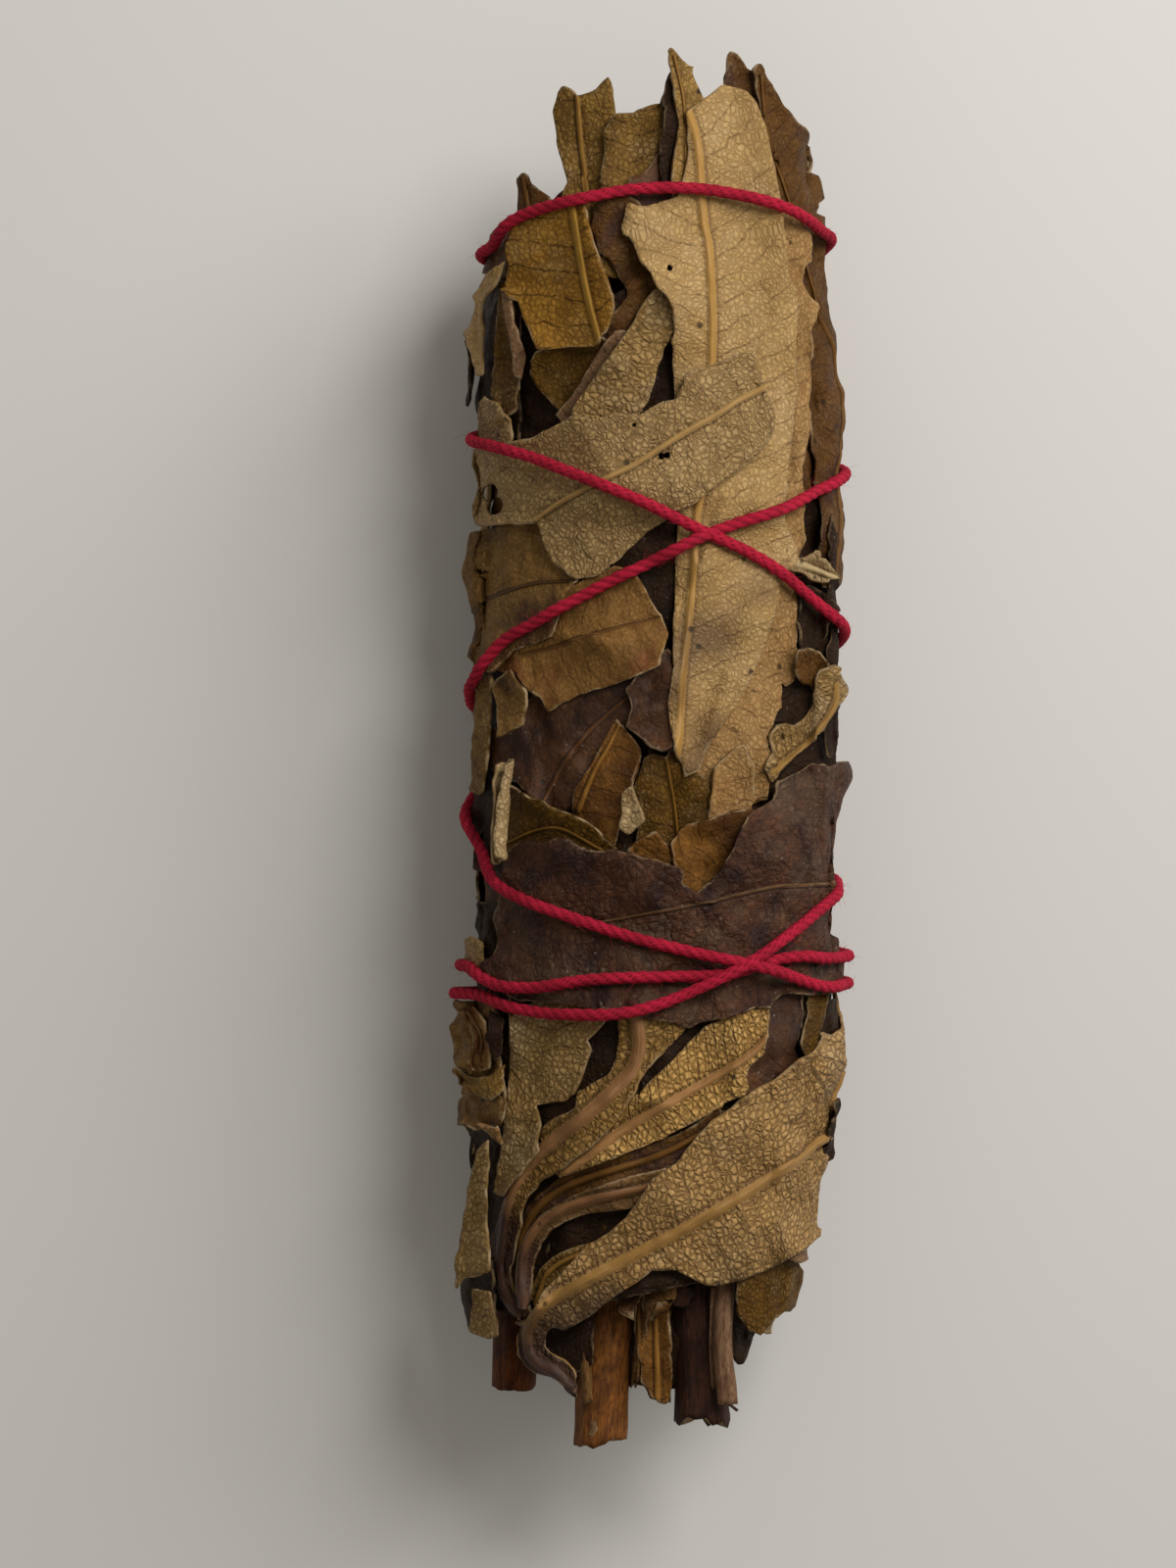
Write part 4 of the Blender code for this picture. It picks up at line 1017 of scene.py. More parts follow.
    # Pale specks that are partly whitish crumbs and partly painted glints, dark spots, and pale torn edges
    # that are partly a painted highlight along the curled edges.
    # Pale specks: partly whitish crumbs, partly painted glints.
    crumb_and_glint = w.node("ShaderNodeTexVoronoi", inputs={"Vector": place_at, "Scale": 0.9}).outputs["Distance"]
    crumb_and_glint = w.times(w.ramp(crumb_and_glint, 0.05, 0.12, 1.0, 0.0), given["Specks"])
    blade = w.mix(crumb_and_glint, blade, (0.60, 0.55, 0.46, 1.0))
    spot = w.node("ShaderNodeTexVoronoi", inputs={"Vector": place_at, "Scale": 0.3}).outputs["Distance"]
    blade = w.mix(w.ramp(spot, 0.05, 0.1, 0.8, 0.0), blade, (0.015, 0.009, 0.005, 1.0))
    # Pale torn edges, partly a painted highlight along the curled edges.
    rim = w.times(w.ramp(masks[1], 0.6, 0.97, 0.0, 0.8), w.ramp(w.noise(place_at, 0.7, 3), 0.46, 0.62))
    blade = w.mix(rim, blade, given["Edge Colour"])
    w.tree.links.new(blade, result["Colour"])
    rough = w.ramp(grain, 0.3, 0.7, 0.48, 0.72)
    w.tree.links.new(w.minus(rough, w.times(on_rib, 0.12)), result["Roughness"])
    # Relief.
    dome = w.times(w.ramp(cell, 0.0, 0.34), given["Net"])
    dome = w.plus(dome, w.times(w.ramp(coarse, 0.0, 0.12), 0.35))
    dome = w.minus(dome, w.times(side_vein, w.times(given["Side Veins"], 0.7)))
    dome = w.plus(dome, w.times(grain, 0.45))
    dome = w.times(dome, w.minus(1.0, on_rib))
    dome = w.plus(dome, w.times(streak, 0.55))
    w.tree.links.new(dome, result["Height"])
    return tree


def rgba(colour):
    """A colour with full opacity."""
    return (*colour, 1.0)


@dataclass(frozen=True)
class Skin:
    """A leaf's finish: its colours, then how strong each effect is."""

    slot: str
    light: tuple
    dark: tuple
    vein: tuple
    rib: tuple
    # The edge colour is that of torn edges; on the blade's top it also paints a highlight along the curled
    # edges.
    edge: tuple = (0.30, 0.21, 0.115)
    stain: tuple = (0.035, 0.014, 0.012)
    net: float = 0.6
    cells: float = 2.1  # of the net, for each millimetre
    cracks: float = 0.4  # how dark the coarse net is
    veins: float = 0.5  # and the side veins
    stains: float = 0.3
    glint_patches: float = 0.0  # how much of it has patches of painted whitish highlight on its raised cells
    mottle: float = 0.7
    specks: float = 0.0
    bump: float = 0.12
    gloss: float = 0.1


SKINS = {
    "tan": Skin("tan", (0.414, 0.26, 0.0966), (0.27, 0.158, 0.0497), (0.153, 0.0791, 0.0258),
        (0.378, 0.205, 0.0478), stain=(0.42, 0.28, 0.13), net=0.5, cells=2.4, cracks=0.12, veins=0.55,
        stains=0.6, glint_patches=0.4, mottle=0.8, bump=0.13, gloss=0.25),
    "big": Skin("tan", (0.414, 0.243, 0.0828), (0.207, 0.115, 0.0342), (0.122, 0.0566, 0.0168),
        (0.306, 0.162, 0.0405), stain=(0.36, 0.24, 0.105), net=0.9, cells=1.8, cracks=0.3, veins=0.55,
        stains=0.5, glint_patches=0.4, mottle=0.8, bump=0.2, gloss=0.25),
    "mid": Skin("tan", (0.352, 0.23, 0.0957), (0.211, 0.126, 0.0435), (0.0616, 0.0306, 0.00957),
        (0.352, 0.207, 0.0653), stain=(0.17, 0.095, 0.033), net=0.7, cells=2.2, cracks=1, veins=0.4,
        stains=0.5, glint_patches=0.3, bump=0.15, gloss=0.2),
    "gold": Skin("brown", (0.24, 0.135, 0.03), (0.095, 0.048, 0.009), (0.04, 0.018, 0.005),
        (0.25, 0.125, 0.024), cracks=0.6, veins=0.6, glint_patches=0.35, bump=0.15),
    "tip": Skin("tan", (0.302, 0.181, 0.0521), (0.16, 0.0882, 0.0227), (0.0504, 0.0235, 0.00588),
        (0.235, 0.118, 0.0252), glint_patches=0.35),
    "orange": Skin("rust", (0.353, 0.206, 0.081), (0.21, 0.112, 0.035), (0.084, 0.0387, 0.012),
        (0.252, 0.138, 0.0368), stain=(0.2, 0.085, 0.02), net=0.5, cracks=0.2, glint_patches=0.3),
    "rough": Skin("tan", (0.333, 0.209, 0.078), (0.153, 0.0884, 0.027), (0.0819, 0.0391, 0.0126),
        (0.27, 0.149, 0.04), stain=(0.36, 0.26, 0.14), net=0.75, cells=1.9, cracks=0.6, stains=0.7,
        glint_patches=0.45, bump=0.2),
    "rib_gold": Skin("tan", (0.36, 0.21, 0.055), (0.17, 0.09, 0.022), (0.084, 0.0392, 0.0098),
        (0.24, 0.115, 0.042), stain=(0.16, 0.08, 0.018), net=0.95, cells=1.8, cracks=0.3, veins=0.6,
        glint_patches=0.25, bump=0.2, gloss=0.2),
    "rib_tan": Skin("tan", (0.52, 0.31, 0.095), (0.28, 0.155, 0.04), (0.112, 0.0525, 0.0135),
        (0.32, 0.16, 0.055), stain=(0.2, 0.1, 0.022), net=0.95, cells=1.8, cracks=0.25, veins=0.7, glint_patches=0.3,
        bump=0.2, gloss=0.2),
    "rib_pink": Skin("plum", (0.22, 0.12, 0.036), (0.085, 0.038, 0.013), (0.02, 0.008, 0.003),
        (0.2, 0.092, 0.034), net=0.4, gloss=0.2),
    "pink": Skin("plum", (0.24, 0.14, 0.072), (0.12, 0.058, 0.027), (0.05, 0.02, 0.01), (0.22, 0.12, 0.055),
        net=0.3),
    "rust": Skin("rust", (0.36, 0.18, 0.025), (0.15, 0.068, 0.009), (0.05, 0.02, 0.003), (0.3, 0.16, 0.022),
        stain=(0.26, 0.165, 0.055), net=0.5, cracks=0.3, veins=0.7, stains=0.6, glint_patches=0.2, mottle=0.9,
        bump=0.15),
    "caramel": Skin("rust", (0.25, 0.13, 0.034), (0.11, 0.05, 0.013), (0.045, 0.018, 0.005),
        (0.12, 0.055, 0.015), edge=(0.4, 0.29, 0.15), stain=(0.14, 0.038, 0.016), net=0.3, cracks=0.25,
        veins=0.35, stains=0.7, mottle=0.9),
    "amber": Skin("rust", (0.2, 0.086, 0.014), (0.06, 0.023, 0.004), (0.026, 0.01, 0.002), (0.22, 0.1, 0.018),
        net=0.3, stains=0.4, mottle=0.9),
    "olive": Skin("brown", (0.129, 0.0624, 0.0072), (0.043, 0.0203, 0.003), (0.0189, 0.0078, 0.0012),
        (0.155, 0.0741, 0.0108), glint_patches=0.2),
    "umber": Skin("brown", (0.122, 0.0528, 0.00984), (0.0468, 0.0194, 0.0041), (0.0216, 0.0088, 0.00246),
        (0.135, 0.0598, 0.0115), stain=(0.03, 0.012, 0.014), net=0.4, stains=0.8, glint_patches=0.12, gloss=0.12),
    "brown": Skin("brown", (0.24, 0.13, 0.036), (0.09, 0.045, 0.012), (0.022, 0.009, 0.003),
        (0.07, 0.035, 0.01), stain=(0.036, 0.014, 0.013), net=0.35, cracks=0.3, veins=0.3, stains=0.85,
        mottle=0.9, specks=0.1),
    "wrap": Skin("plum", (0.112, 0.041, 0.0145), (0.0225, 0.008, 0.0064), (0.008, 0.003, 0.002),
        (0.11, 0.052, 0.019), edge=(0.28, 0.19, 0.1), stain=(0.088, 0.052, 0.029), net=0.4, cells=1.5,
        cracks=0.5, veins=0.3, stains=0.95, glint_patches=0.15, mottle=1, specks=0.16, bump=0.26, gloss=0.2),
    "plum": Skin("plum", (0.0792, 0.028, 0.00806), (0.0194, 0.0064, 0.00279), (0.00704, 0.0024, 0.00124),
        (0.088, 0.0336, 0.00806), stain=(0.13, 0.055, 0.017), net=0.25, cracks=0.3, veins=0.2, stains=0.6,
        mottle=0.95, specks=0.2, gloss=0.25),
    # Near-black skin: partly the leaves' own dark colour, partly painted shade for the gaps that they show
    # through.
    "dark": Skin("brown", (0.028, 0.012, 0.004), (0.01, 0.005, 0.002), (0.005, 0.003, 0.001),
        (0.05, 0.022, 0.008), edge=(0.14, 0.09, 0.045), net=0.4, specks=0.1),
    "pale": Skin("tan", (0.46, 0.34, 0.18), (0.24, 0.15, 0.06), (0.1, 0.052, 0.02), (0.4, 0.3, 0.15),
        glint_patches=0.6),
}


def new_material(label):
    """A new material, its wires, its shader and its leaf coordinates, or None if it is made already."""
    if label in bpy.data.materials:
        return None
    material = bpy.data.materials.new(label)
    material.use_nodes = True
    wires = Wires(material.node_tree)
    shader = material.node_tree.nodes["Principled BSDF"]
    shader.inputs["Specular IOR Level"].default_value = 0.12
    return wires, shader, wires.node("ShaderNodeAttribute", attribute_name="vein").outputs["Vector"]


def connect(wires, shader, colour, roughness, height, depth):
    """Joins a colour, a roughness and a relief of a depth in millimetres to a shader."""
    bump = wires.node("ShaderNodeBump", inputs={"Height": height, "Strength": 1.0, "Distance": depth * MM})
    for value, key in ((colour, "Base Color"), (roughness, "Roughness"), (bump.outputs[0], "Normal")):
        wires.tree.links.new(value, shader.inputs[key])


def leaf_material(name, spacing, slant):
    """The blade of a leaf in one of the skins, with its side veins spaced and slanted."""
    label = f"leaf {name} {spacing} {slant}"
    made = new_material(label)
    if made:
        w, shader, vein = made
        skin = SKINS[name]
        mask = w.node("ShaderNodeAttribute", attribute_name="mask").outputs["Color"]
        group = w.node("ShaderNodeGroup", node_tree=leaf_skin_group(), inputs={
            "Vein": vein, "Mask": mask, "Light": rgba(skin.light), "Dark": rgba(skin.dark),
            "Vein Colour": rgba(skin.vein), "Rib Colour": rgba(skin.rib), "Edge Colour": rgba(skin.edge),
            "Stain Colour": rgba(skin.stain), "Net": skin.net, "Cells": skin.cells, "Cracks": skin.cracks,
            "Side Veins": skin.veins, "Stains": skin.stains, "Bloom": skin.glint_patches, "Mottle": skin.mottle,
            "Spacing": spacing, "Slant": slant, "Specks": skin.specks}).outputs
        connect(w, shader, group["Colour"], group["Roughness"], group["Height"], skin.bump)
        shader.inputs["Specular IOR Level"].default_value = skin.gloss
    return bpy.data.materials[label]


def torn_edge_material(name):
    """The cut or torn thickness of a leaf."""
    label = f"torn edge {name}"
    made = new_material(label)
    if made:
        w, shader, vein = made
        skin = SKINS[name]
        grain = w.noise(vein, 0.8, 4)
        colour = w.mix(w.ramp(grain, 0.44, 0.62), rgba(skin.dark), rgba(skin.edge))
        connect(w, shader, colour, w.ramp(grain, 0.3, 0.7, 0.6, 0.85), grain, 0.05)
    return bpy.data.materials[label]


def streaked_material(label, light, dark, deep, stretch, rough, depth):
    """Bark, stalk or cut wood: streaks that run along the piece."""
    made = new_material(label)
    if made:
        w, shader, vein = made
        long = w.stretched(vein, stretch)
        streak = w.noise(long, 1.0, 5, 0.62)
        fine = w.noise(long, 4.0, 3, 0.6)
        blotch = w.noise(vein, 0.5, 3)
        colour = w.mix(w.ramp(streak, 0.36, 0.62), rgba(light), rgba(dark))
        colour = w.mix(w.ramp(fine, 0.48, 0.7, 0.0, 0.85), colour, rgba(deep))
        colour = w.mix(w.ramp(blotch, 0.45, 0.7, 0.0, 0.7), colour, rgba(deep))
        height = w.plus(streak, w.times(fine, 0.6))
        connect(w, shader, colour, w.ramp(streak, 0.3, 0.7, rough - 0.1, rough + 0.1), height, depth)
    return bpy.data.materials[label]


def string_material():
    """Red cotton: lint along the plies, faded patches, and painted shade in the grooves between the plies."""
    label = "red cotton"
    made = new_material(label)
    if made:
        w, shader, vein = made
        mask = w.node("ShaderNodeAttribute", attribute_name="mask").outputs["Color"]
        groove_shade = w.node("ShaderNodeSeparateColor", inputs={0: mask}).outputs[0]
        lint = w.noise(w.stretched(vein, (8.0, 1.6, 1.0)), 1.0, 5, 0.75)
        patch = w.noise(vein, 0.35, 3)
        colour = w.mix(w.ramp(lint, 0.36, 0.66), rgba((0.56, 0.016, 0.052)), rgba((0.29, 0.005, 0.018)))
        colour = w.mix(w.ramp(patch, 0.45, 0.7, 0.0, 0.6), colour, rgba((0.22, 0.006, 0.018)))
        # Painted shade: the grooves between the plies are darkened.
        colour = w.mix(groove_shade, colour, rgba((0.07, 0.001, 0.004)))
        connect(w, shader, colour, w.ramp(lint, 0.3, 0.7, 0.75, 0.95), lint, 0.14)
        shader.inputs["Specular IOR Level"].default_value = 0.15
    return bpy.data.materials[label]


# --- Stems and stalks ---


CUT_GRAIN = 50.0  # sets the grain of cut ends apart from that of the bark


@dataclass(frozen=True)
class Bar:
    """A stem, stalk or strip. Its route runs from the cut end up into the bundle: x, y and z."""

    name: str
    bark: str
    width: float  # half of it
    depth: float  # half of it
    route: tuple
    rough: float = 0.12  # depth of its grooves
    cut: tuple = (0, 0)  # how far its end slants, across and up, for each millimetre
    flare: float = 0.0  # how much wider its cut end is
    frayed: float = 0.15  # depth of the teeth at its cut end
    end: str = "cut"  # what its cut ends are made of


def bar_line(route, step):
    """The centre line of a bar, the way it runs, and the two directions across it, all along it."""
    count = max(12, int(np.linalg.norm(np.diff(route, axis=0), axis=1).sum() / step))
    line = smooth_curve(np.asarray(route)[:, [1, 0, 2]], np.linspace(0, 1, count))[:, [1, 0, 2]]
    along = np.gradient(line, axis=0)
    along /= np.linalg.norm(along, axis=1, keepdims=True)
    across = np.cross(along, [0, 0, 1.0])
    across /= np.linalg.norm(across, axis=1, keepdims=True)
    up = np.cross(across, along)
    return line, along, across, up


# How a cut end is drawn: the share of the end's radius and the depth of each ring within it.
END_RINGS = ((0.93, -0.05), (0.75, 0.02), (0.45, 0.08), (0.2, -0.1))


def dress_bar(bar, seed, sides=28, step=0.45):
    """Makes one stem, stalk or strip, with grooved bark and a cut end."""
    line, along, across, up = bar_line(bar.route, step)
    turn = np.linspace(0, math.tau, sides, endpoint=False)
    travel = np.concatenate([[0], np.cumsum(np.linalg.norm(np.diff(line, axis=0), axis=1))])
    grooves = smooth_noise(3 * np.cos(turn), 3 * np.sin(turn), travel[:, None] / 9, 1.0, seed)
    lumps = smooth_noise(np.cos(turn), np.sin(turn), travel[:, None] / 3, 1.0, seed + 50)
    swell = 1 + bar.flare * np.exp(-travel / 2.5)[:, None]
    size = swell + (bar.rough * grooves + 0.8 * bar.rough * lumps) / bar.width
    side = bar.width * size * np.cos(turn)
    high = bar.depth * size * np.sin(turn)
    points = line[:, None] + side[..., None] * across[:, None] + high[..., None] * up[:, None]
    slant = np.exp(-travel / 3.0)[:, None]
    shift = slant * (bar.cut[0] * side + bar.cut[1] * high
                     + bar.frayed * smooth_noise(2 * np.cos(turn), 2 * np.sin(turn), 5, 0.7, seed))
    points = points + shift[..., None] * along[:, None]
    mesh = bpy.data.meshes.new(bar.name)
    shape = bmesh.new()
    rings = [[shape.verts.new(p * MM) for p in ring] for ring in points]
    for near, far in zip(rings, rings[1:]):
        for i in range(sides):
            j = (i + 1) % sides
            shape.faces.new((near[i], near[j], far[j], far[i]))
    data = [(bar.width * a, t, 0) for t in travel for a in turn]
    for ring, inwards in ((rings[0], 1), (rings[-1], -1)):
        middle = sum((v.co for v in ring), Vector()) / sides
        edge = ring
        for share, depth in END_RINGS:
            wobble = 0.12 * smooth_noise(3 * np.cos(turn), 3 * np.sin(turn), 9 * share, 1.0, seed)
            inner = [shape.verts.new(middle + (v.co - middle) * share + Vector(along[0]) * inwards * MM * (
                0.4 * (wobble[i] - depth))) for i, v in enumerate(ring)]
            radius = bar.width * share
            data += [(radius * math.cos(a), radius * math.sin(a), CUT_GRAIN) for a in turn]
            for i in range(sides):
                j = (i + 1) % sides
                face = shape.faces.new((edge[j], edge[i], inner[i], inner[j]) if inwards > 0
                                       else (edge[i], edge[j], inner[j], inner[i]))
                face.material_index = 1
            edge = inner
        face = shape.faces.new(list(reversed(edge)) if inwards > 0 else edge)
        face.material_index = 1
    bmesh.ops.recalc_face_normals(shape, faces=shape.faces)
    shape.to_mesh(mesh)
    shape.free()
    add_veins(mesh, data)
    mesh.shade_smooth()
    for finish in (bar.bark, bar.end):
        mesh.materials.append(streaked_material(*BARKS[finish]))
    replaced = own_solid(bar.name)
    return add_piece(dressed(bar.name, replaced), mesh, replaced, "bark")


# Each finish's name, its light, dark and deep colour, how its streaks are stretched, its roughness and
# the depth of its relief.
BARKS = {
    "red": ("red bark", (0.14, 0.034, 0.003), (0.055, 0.013, 0.002), (0.012, 0.004, 0.002), (3, 0.35, 1),
            0.5, 0.12),
    "orange": ("orange bark", (0.24, 0.086, 0.016), (0.1, 0.033, 0.0075), (0.04, 0.014, 0.003), (3, 0.35, 1),
               0.45, 0.12),
    "plum": ("plum bark", (0.06, 0.022, 0.011), (0.024, 0.009, 0.005), (0.009, 0.004, 0.003), (3, 0.3, 1),
             0.5, 0.15),
    "pink": ("pink stalk", (0.24, 0.14, 0.075), (0.14, 0.07, 0.035), (0.07, 0.03, 0.018), (3, 0.5, 1),
             0.5, 0.08),
    "golden": ("golden stalk", (0.22, 0.11, 0.03), (0.11, 0.05, 0.014), (0.05, 0.02, 0.008), (3, 0.4, 1),
               0.45, 0.08),
    "cut": ("cut wood", (0.3, 0.19, 0.09), (0.15, 0.085, 0.04), (0.06, 0.03, 0.015), (1.6, 1.6, 1.6),
            0.8, 0.12),
}

STEM_LOOKS = {
    "stem_left": dict(bark="red", rough=0.22, cut=(0.0, -0.2)),
    "stem_middle": dict(bark="orange", rough=0.3, cut=(0.3, -0.12), flare=0.05, frayed=0.5),
    "stem_right": dict(bark="plum", rough=0.4, cut=(0.0, -0.15), frayed=1.4, flare=0.08),
    "stem_under_left": dict(bark="red", rough=0.14),
    "stem_under_right": dict(bark="plum", rough=0.14),
    "stem_thin": dict(bark="pink", rough=0.12),
}

# Strips of bark and small stalks that lie on the cut stems.
STRIPS = (
    Bar("stem_knob", "plum", 0.95, 0.95, ((2.5, -44.6, 20.2), (2.6, -44.4, 19), (2.9, -43.9, 17.2)),
        rough=0.2, end="plum"),
    Bar("stem_facet", "cut", 0.6, 0.25, ((-4.8, -56.7, 18.45), (-4.5, -55.6, 18.6), (-4.4, -54.4, 18.5)),
        rough=0.2, frayed=0.6),
    Bar("stem_fibre_right", "plum", 0.13, 0.1, ((7.1, -54.3, 16.6), (6.3, -53.6, 16.8), (5.6, -52.4, 17)),
        rough=0.03),
    Bar("stem_fibre_middle", "plum", 0.14, 0.1, ((4.8, -55.5, 16.9), (4.4, -54.9, 17), (4.1, -53.8, 17.2)),
        rough=0.03),
    Bar("stem_fibre_left", "plum", 0.13, 0.1, ((0, -51.9, 16.4), (0.9, -51.6, 16.8), (1.7, -50.6, 16.8)),
        rough=0.03),
    Bar("stem_strip_left", "golden", 0.42, 0.35, ((-5, -53.6, 18.5), (-5.35, -50, 18.35), (-5.3, -46, 18.2)),
        rough=0.15, frayed=0.6),
    Bar("stem_strip_right", "golden", 0.36, 0.5, ((-1.4, -52.2, 16.6), (-1.1, -49, 16.8), (-0.9, -44, 17)),
        rough=0.2, frayed=0.8),
    Bar("stem_strip_middle", "golden", 0.5, 0.5, ((1.2, -53.4, 16.4), (1, -49, 16.8), (0.6, -43.4, 17.4)),
        rough=0.25, frayed=0.9),
    Bar("stem_strip_thin", "pink", 0.3, 0.3, ((5.2, -52.2, 17.9), (5, -49, 18), (5.2, -44, 18.3)), rough=0.15,
        frayed=0.5),
)


# --- String ---


STRING_FITS = 3  # times that its line and its height are fitted to each other
STRING_NEAR = 0.55  # how near its middle comes to another turn of it at a crossing, in its diameters
STRING_SKIP = 6  # length next to a point of it that can't cross it there, in its diameters
STRING_SINK = 0.46  # height of its middle over what it lies on, for each of its diameters
STRING_OVER = 1.1  # the same, over another turn of it
STRING_SLOPE = 0.3  # the steepest that it falls away from a crossing
STRING_SIDES = 24
FIBRE_START = 0.42  # how far out of its middle the loose fibres start, in its diameters
FIBRE_RADIUS = 0.014
LOOSE_GRAIN = 0.1  # how far the grain of the loose fibres is drawn out


def wound_line(level, step):
    """Arc length, y and angle all along the string, which lies at a level at each point of its route."""
    x, y, face = STRING_POINTS.T
    angle = np.unwrap(angle_at(x, y, level, face))
    turns = np.floor((angle + math.pi) / math.tau)
    arc = arc_at(angle - turns * math.tau, y) + turns * arc_at(math.tau, y)
    travel = np.concatenate([[0], np.cumsum(np.hypot(np.diff(arc), np.diff(y)))])
    count = int(travel[-1] / step)
    line = smooth_curve(np.stack([arc, y, angle], axis=1), np.linspace(0, 1, count))
    return blurred(line, 1.3 / step, 0.1), np.round(travel / travel[-1] * (count - 1)).astype(int)


def string_height(line, heap, diameter, step):
    """The string's height over the section, drawn tight over the heap and over its own turns."""
    _, y, angle = line.T
    along = np.gradient(line[:, :2], axis=0)
    aside = 0.35 * diameter * along[:, ::-1] / np.linalg.norm(along, axis=1)[:, None]
    under = [heap.height(angle + k * aside[:, 0] / HALF_WIDTH, y - k * aside[:, 1]) for k in (-1, 0, 1)]
    height = np.max(under, axis=0) + STRING_SINK * diameter
    girth = arc_at(math.tau, y.mean())
    skip = int(STRING_SKIP * diameter / step)
    for i in range(skip, len(height)):
        apart = line[: i - skip, :2] - line[i, :2]
        apart[:, 0] -= girth * np.round(apart[:, 0] / girth)
        near = np.hypot(apart[:, 0], apart[:, 1]) < STRING_NEAR * diameter
        if near.any():
            height[i] = max(height[i], height[: i - skip][near].max() + STRING_OVER * diameter)
    slope = STRING_SLOPE * step
    for order in (range(1, len(height)), range(len(height) - 2, -1, -1)):
        for i in order:
            before = i - 1 if order.step > 0 else i + 1
            height[i] = max(height[i], height[before] - slope)
    return blurred(height[:, None], 0.9 / step, 0.1)[:, 0]


def string_line(heap, diameter, step=0.25):
    """The string's centre line, fitted again and again to the height that it lies at."""
    level = np.full(len(STRING_POINTS), STRING_HEIGHT)
    for _ in range(STRING_FITS):
        line, at = wound_line(level, step)
        height = string_height(line, heap, diameter, step)
        level = height[at]
    return place(line[:, 2], line[:, 1], height)


def loose_fibres(count, line, along, side, up, diameter):
    """Fine three-sided fibres that stand out of the string: their corners and faces."""
    rng = np.random.default_rng(11)
    corners, faces = [], []
    for _ in range(count):
        i = rng.integers(4, len(line) - 12)
        a = rng.uniform(0, math.tau)
        out = math.cos(a) * side[i] + math.sin(a) * up[i]
        reach = rng.uniform(0.5, 1.5)
        sway = rng.normal(size=3) * 0.35
        start = line[i] + out * FIBRE_START * diameter
        aim = out * rng.uniform(0.2, 0.6) + along[i] * rng.choice((-1, 1)) * rng.uniform(0.4, 1.0)
        first = len(corners)
        for k in range(4):
            t = k / 3 * reach
            middle = start + aim * t + sway * t * t * 0.5
            thick = FIBRE_RADIUS * (1 - 0.6 * k / 3)
            corners += [middle + thick * (math.cos(b) * side[i] + math.sin(b) * up[i])
                        for b in (math.tau * m / 3 for m in range(3))]
        faces += [(f + m, f + n, f + 3 + n, f + 3 + m)
                  for f in (first, first + 3, first + 6) for m, n in ((0, 1), (1, 2), (2, 0))]
    return np.array(corners).reshape(-1, 3), np.array(faces, int).reshape(-1, 4)


def dress_string(settings, heap):
    """Makes the string: three plies twisted together, and the fibres that stand out of them."""
    diameter = settings.diameter / MM
    line = string_line(heap, diameter)
    along = np.gradient(line, axis=0)
    along /= np.linalg.norm(along, axis=1, keepdims=True)
    travel = np.concatenate([[0], np.cumsum(np.linalg.norm(np.diff(line, axis=0), axis=1))])
    centre = np.stack([taper(line[:, 1])[0], line[:, 1], np.full(len(line), UNDERSIDE + HALF_HEIGHT)], axis=1)
    up = line - centre
    up -= (up * along).sum(axis=1, keepdims=True) * along
    up /= np.linalg.norm(up, axis=1, keepdims=True)
    side = np.cross(along, up)
    turn = np.linspace(0, math.tau, STRING_SIDES, endpoint=False)
    twist = turn[None] + math.tau * travel[:, None] / (settings.twist / MM)
    ply = np.abs(np.cos(1.5 * twist))
    radius = 0.5 * diameter * (0.80 + 0.24 * ply**0.7)
    radius = radius * (1 + 0.05 * smooth_noise(np.cos(turn), np.sin(turn), travel[:, None] / 2.2, 1.0, 3))
    points = line[:, None] + radius[..., None] * (np.cos(turn)[None, :, None] * side[:, None]
                                                  + np.sin(turn)[None, :, None] * up[:, None])
    index = np.arange(ply.size).reshape(ply.shape)
    quads = np.stack([index[:-1], np.roll(index[:-1], -1, 1), np.roll(index[1:], -1, 1), index[1:]], axis=-1)
    faces = quads.reshape(-1, 4).tolist() + [index[0].tolist()[::-1], index[-1].tolist()]
    veins = np.stack([np.broadcast_to(turn * diameter / 2, ply.shape),
                      np.broadcast_to(travel[:, None], ply.shape), 0 * ply], axis=-1).reshape(-1, 3)
    fibres, fibre_faces = loose_fibres(settings.fibres, line, along, side, up, diameter)
    corners = np.concatenate([points.reshape(-1, 3), fibres])
    mask = np.zeros((len(corners), 4))
    # Painted shade in the grooves between the plies, where the twisted section dips in.
    mask[: ply.size, 0] = np.clip(1 - ply.reshape(-1) * 2.2, 0, 1)
    mesh = bpy.data.meshes.new("string_dressed")
    mesh.from_pydata((corners * MM).tolist(), [], faces + (fibre_faces + ply.size).tolist())
    add_veins(mesh, np.concatenate([veins, fibres * LOOSE_GRAIN]))
    add_mask(mesh, mask)
    mesh.shade_smooth()
    mesh.materials.append(string_material())
    return add_piece("string_dressed", mesh, ("string",), "string")


# --- The leaves of the top, in the order in which they are laid ---

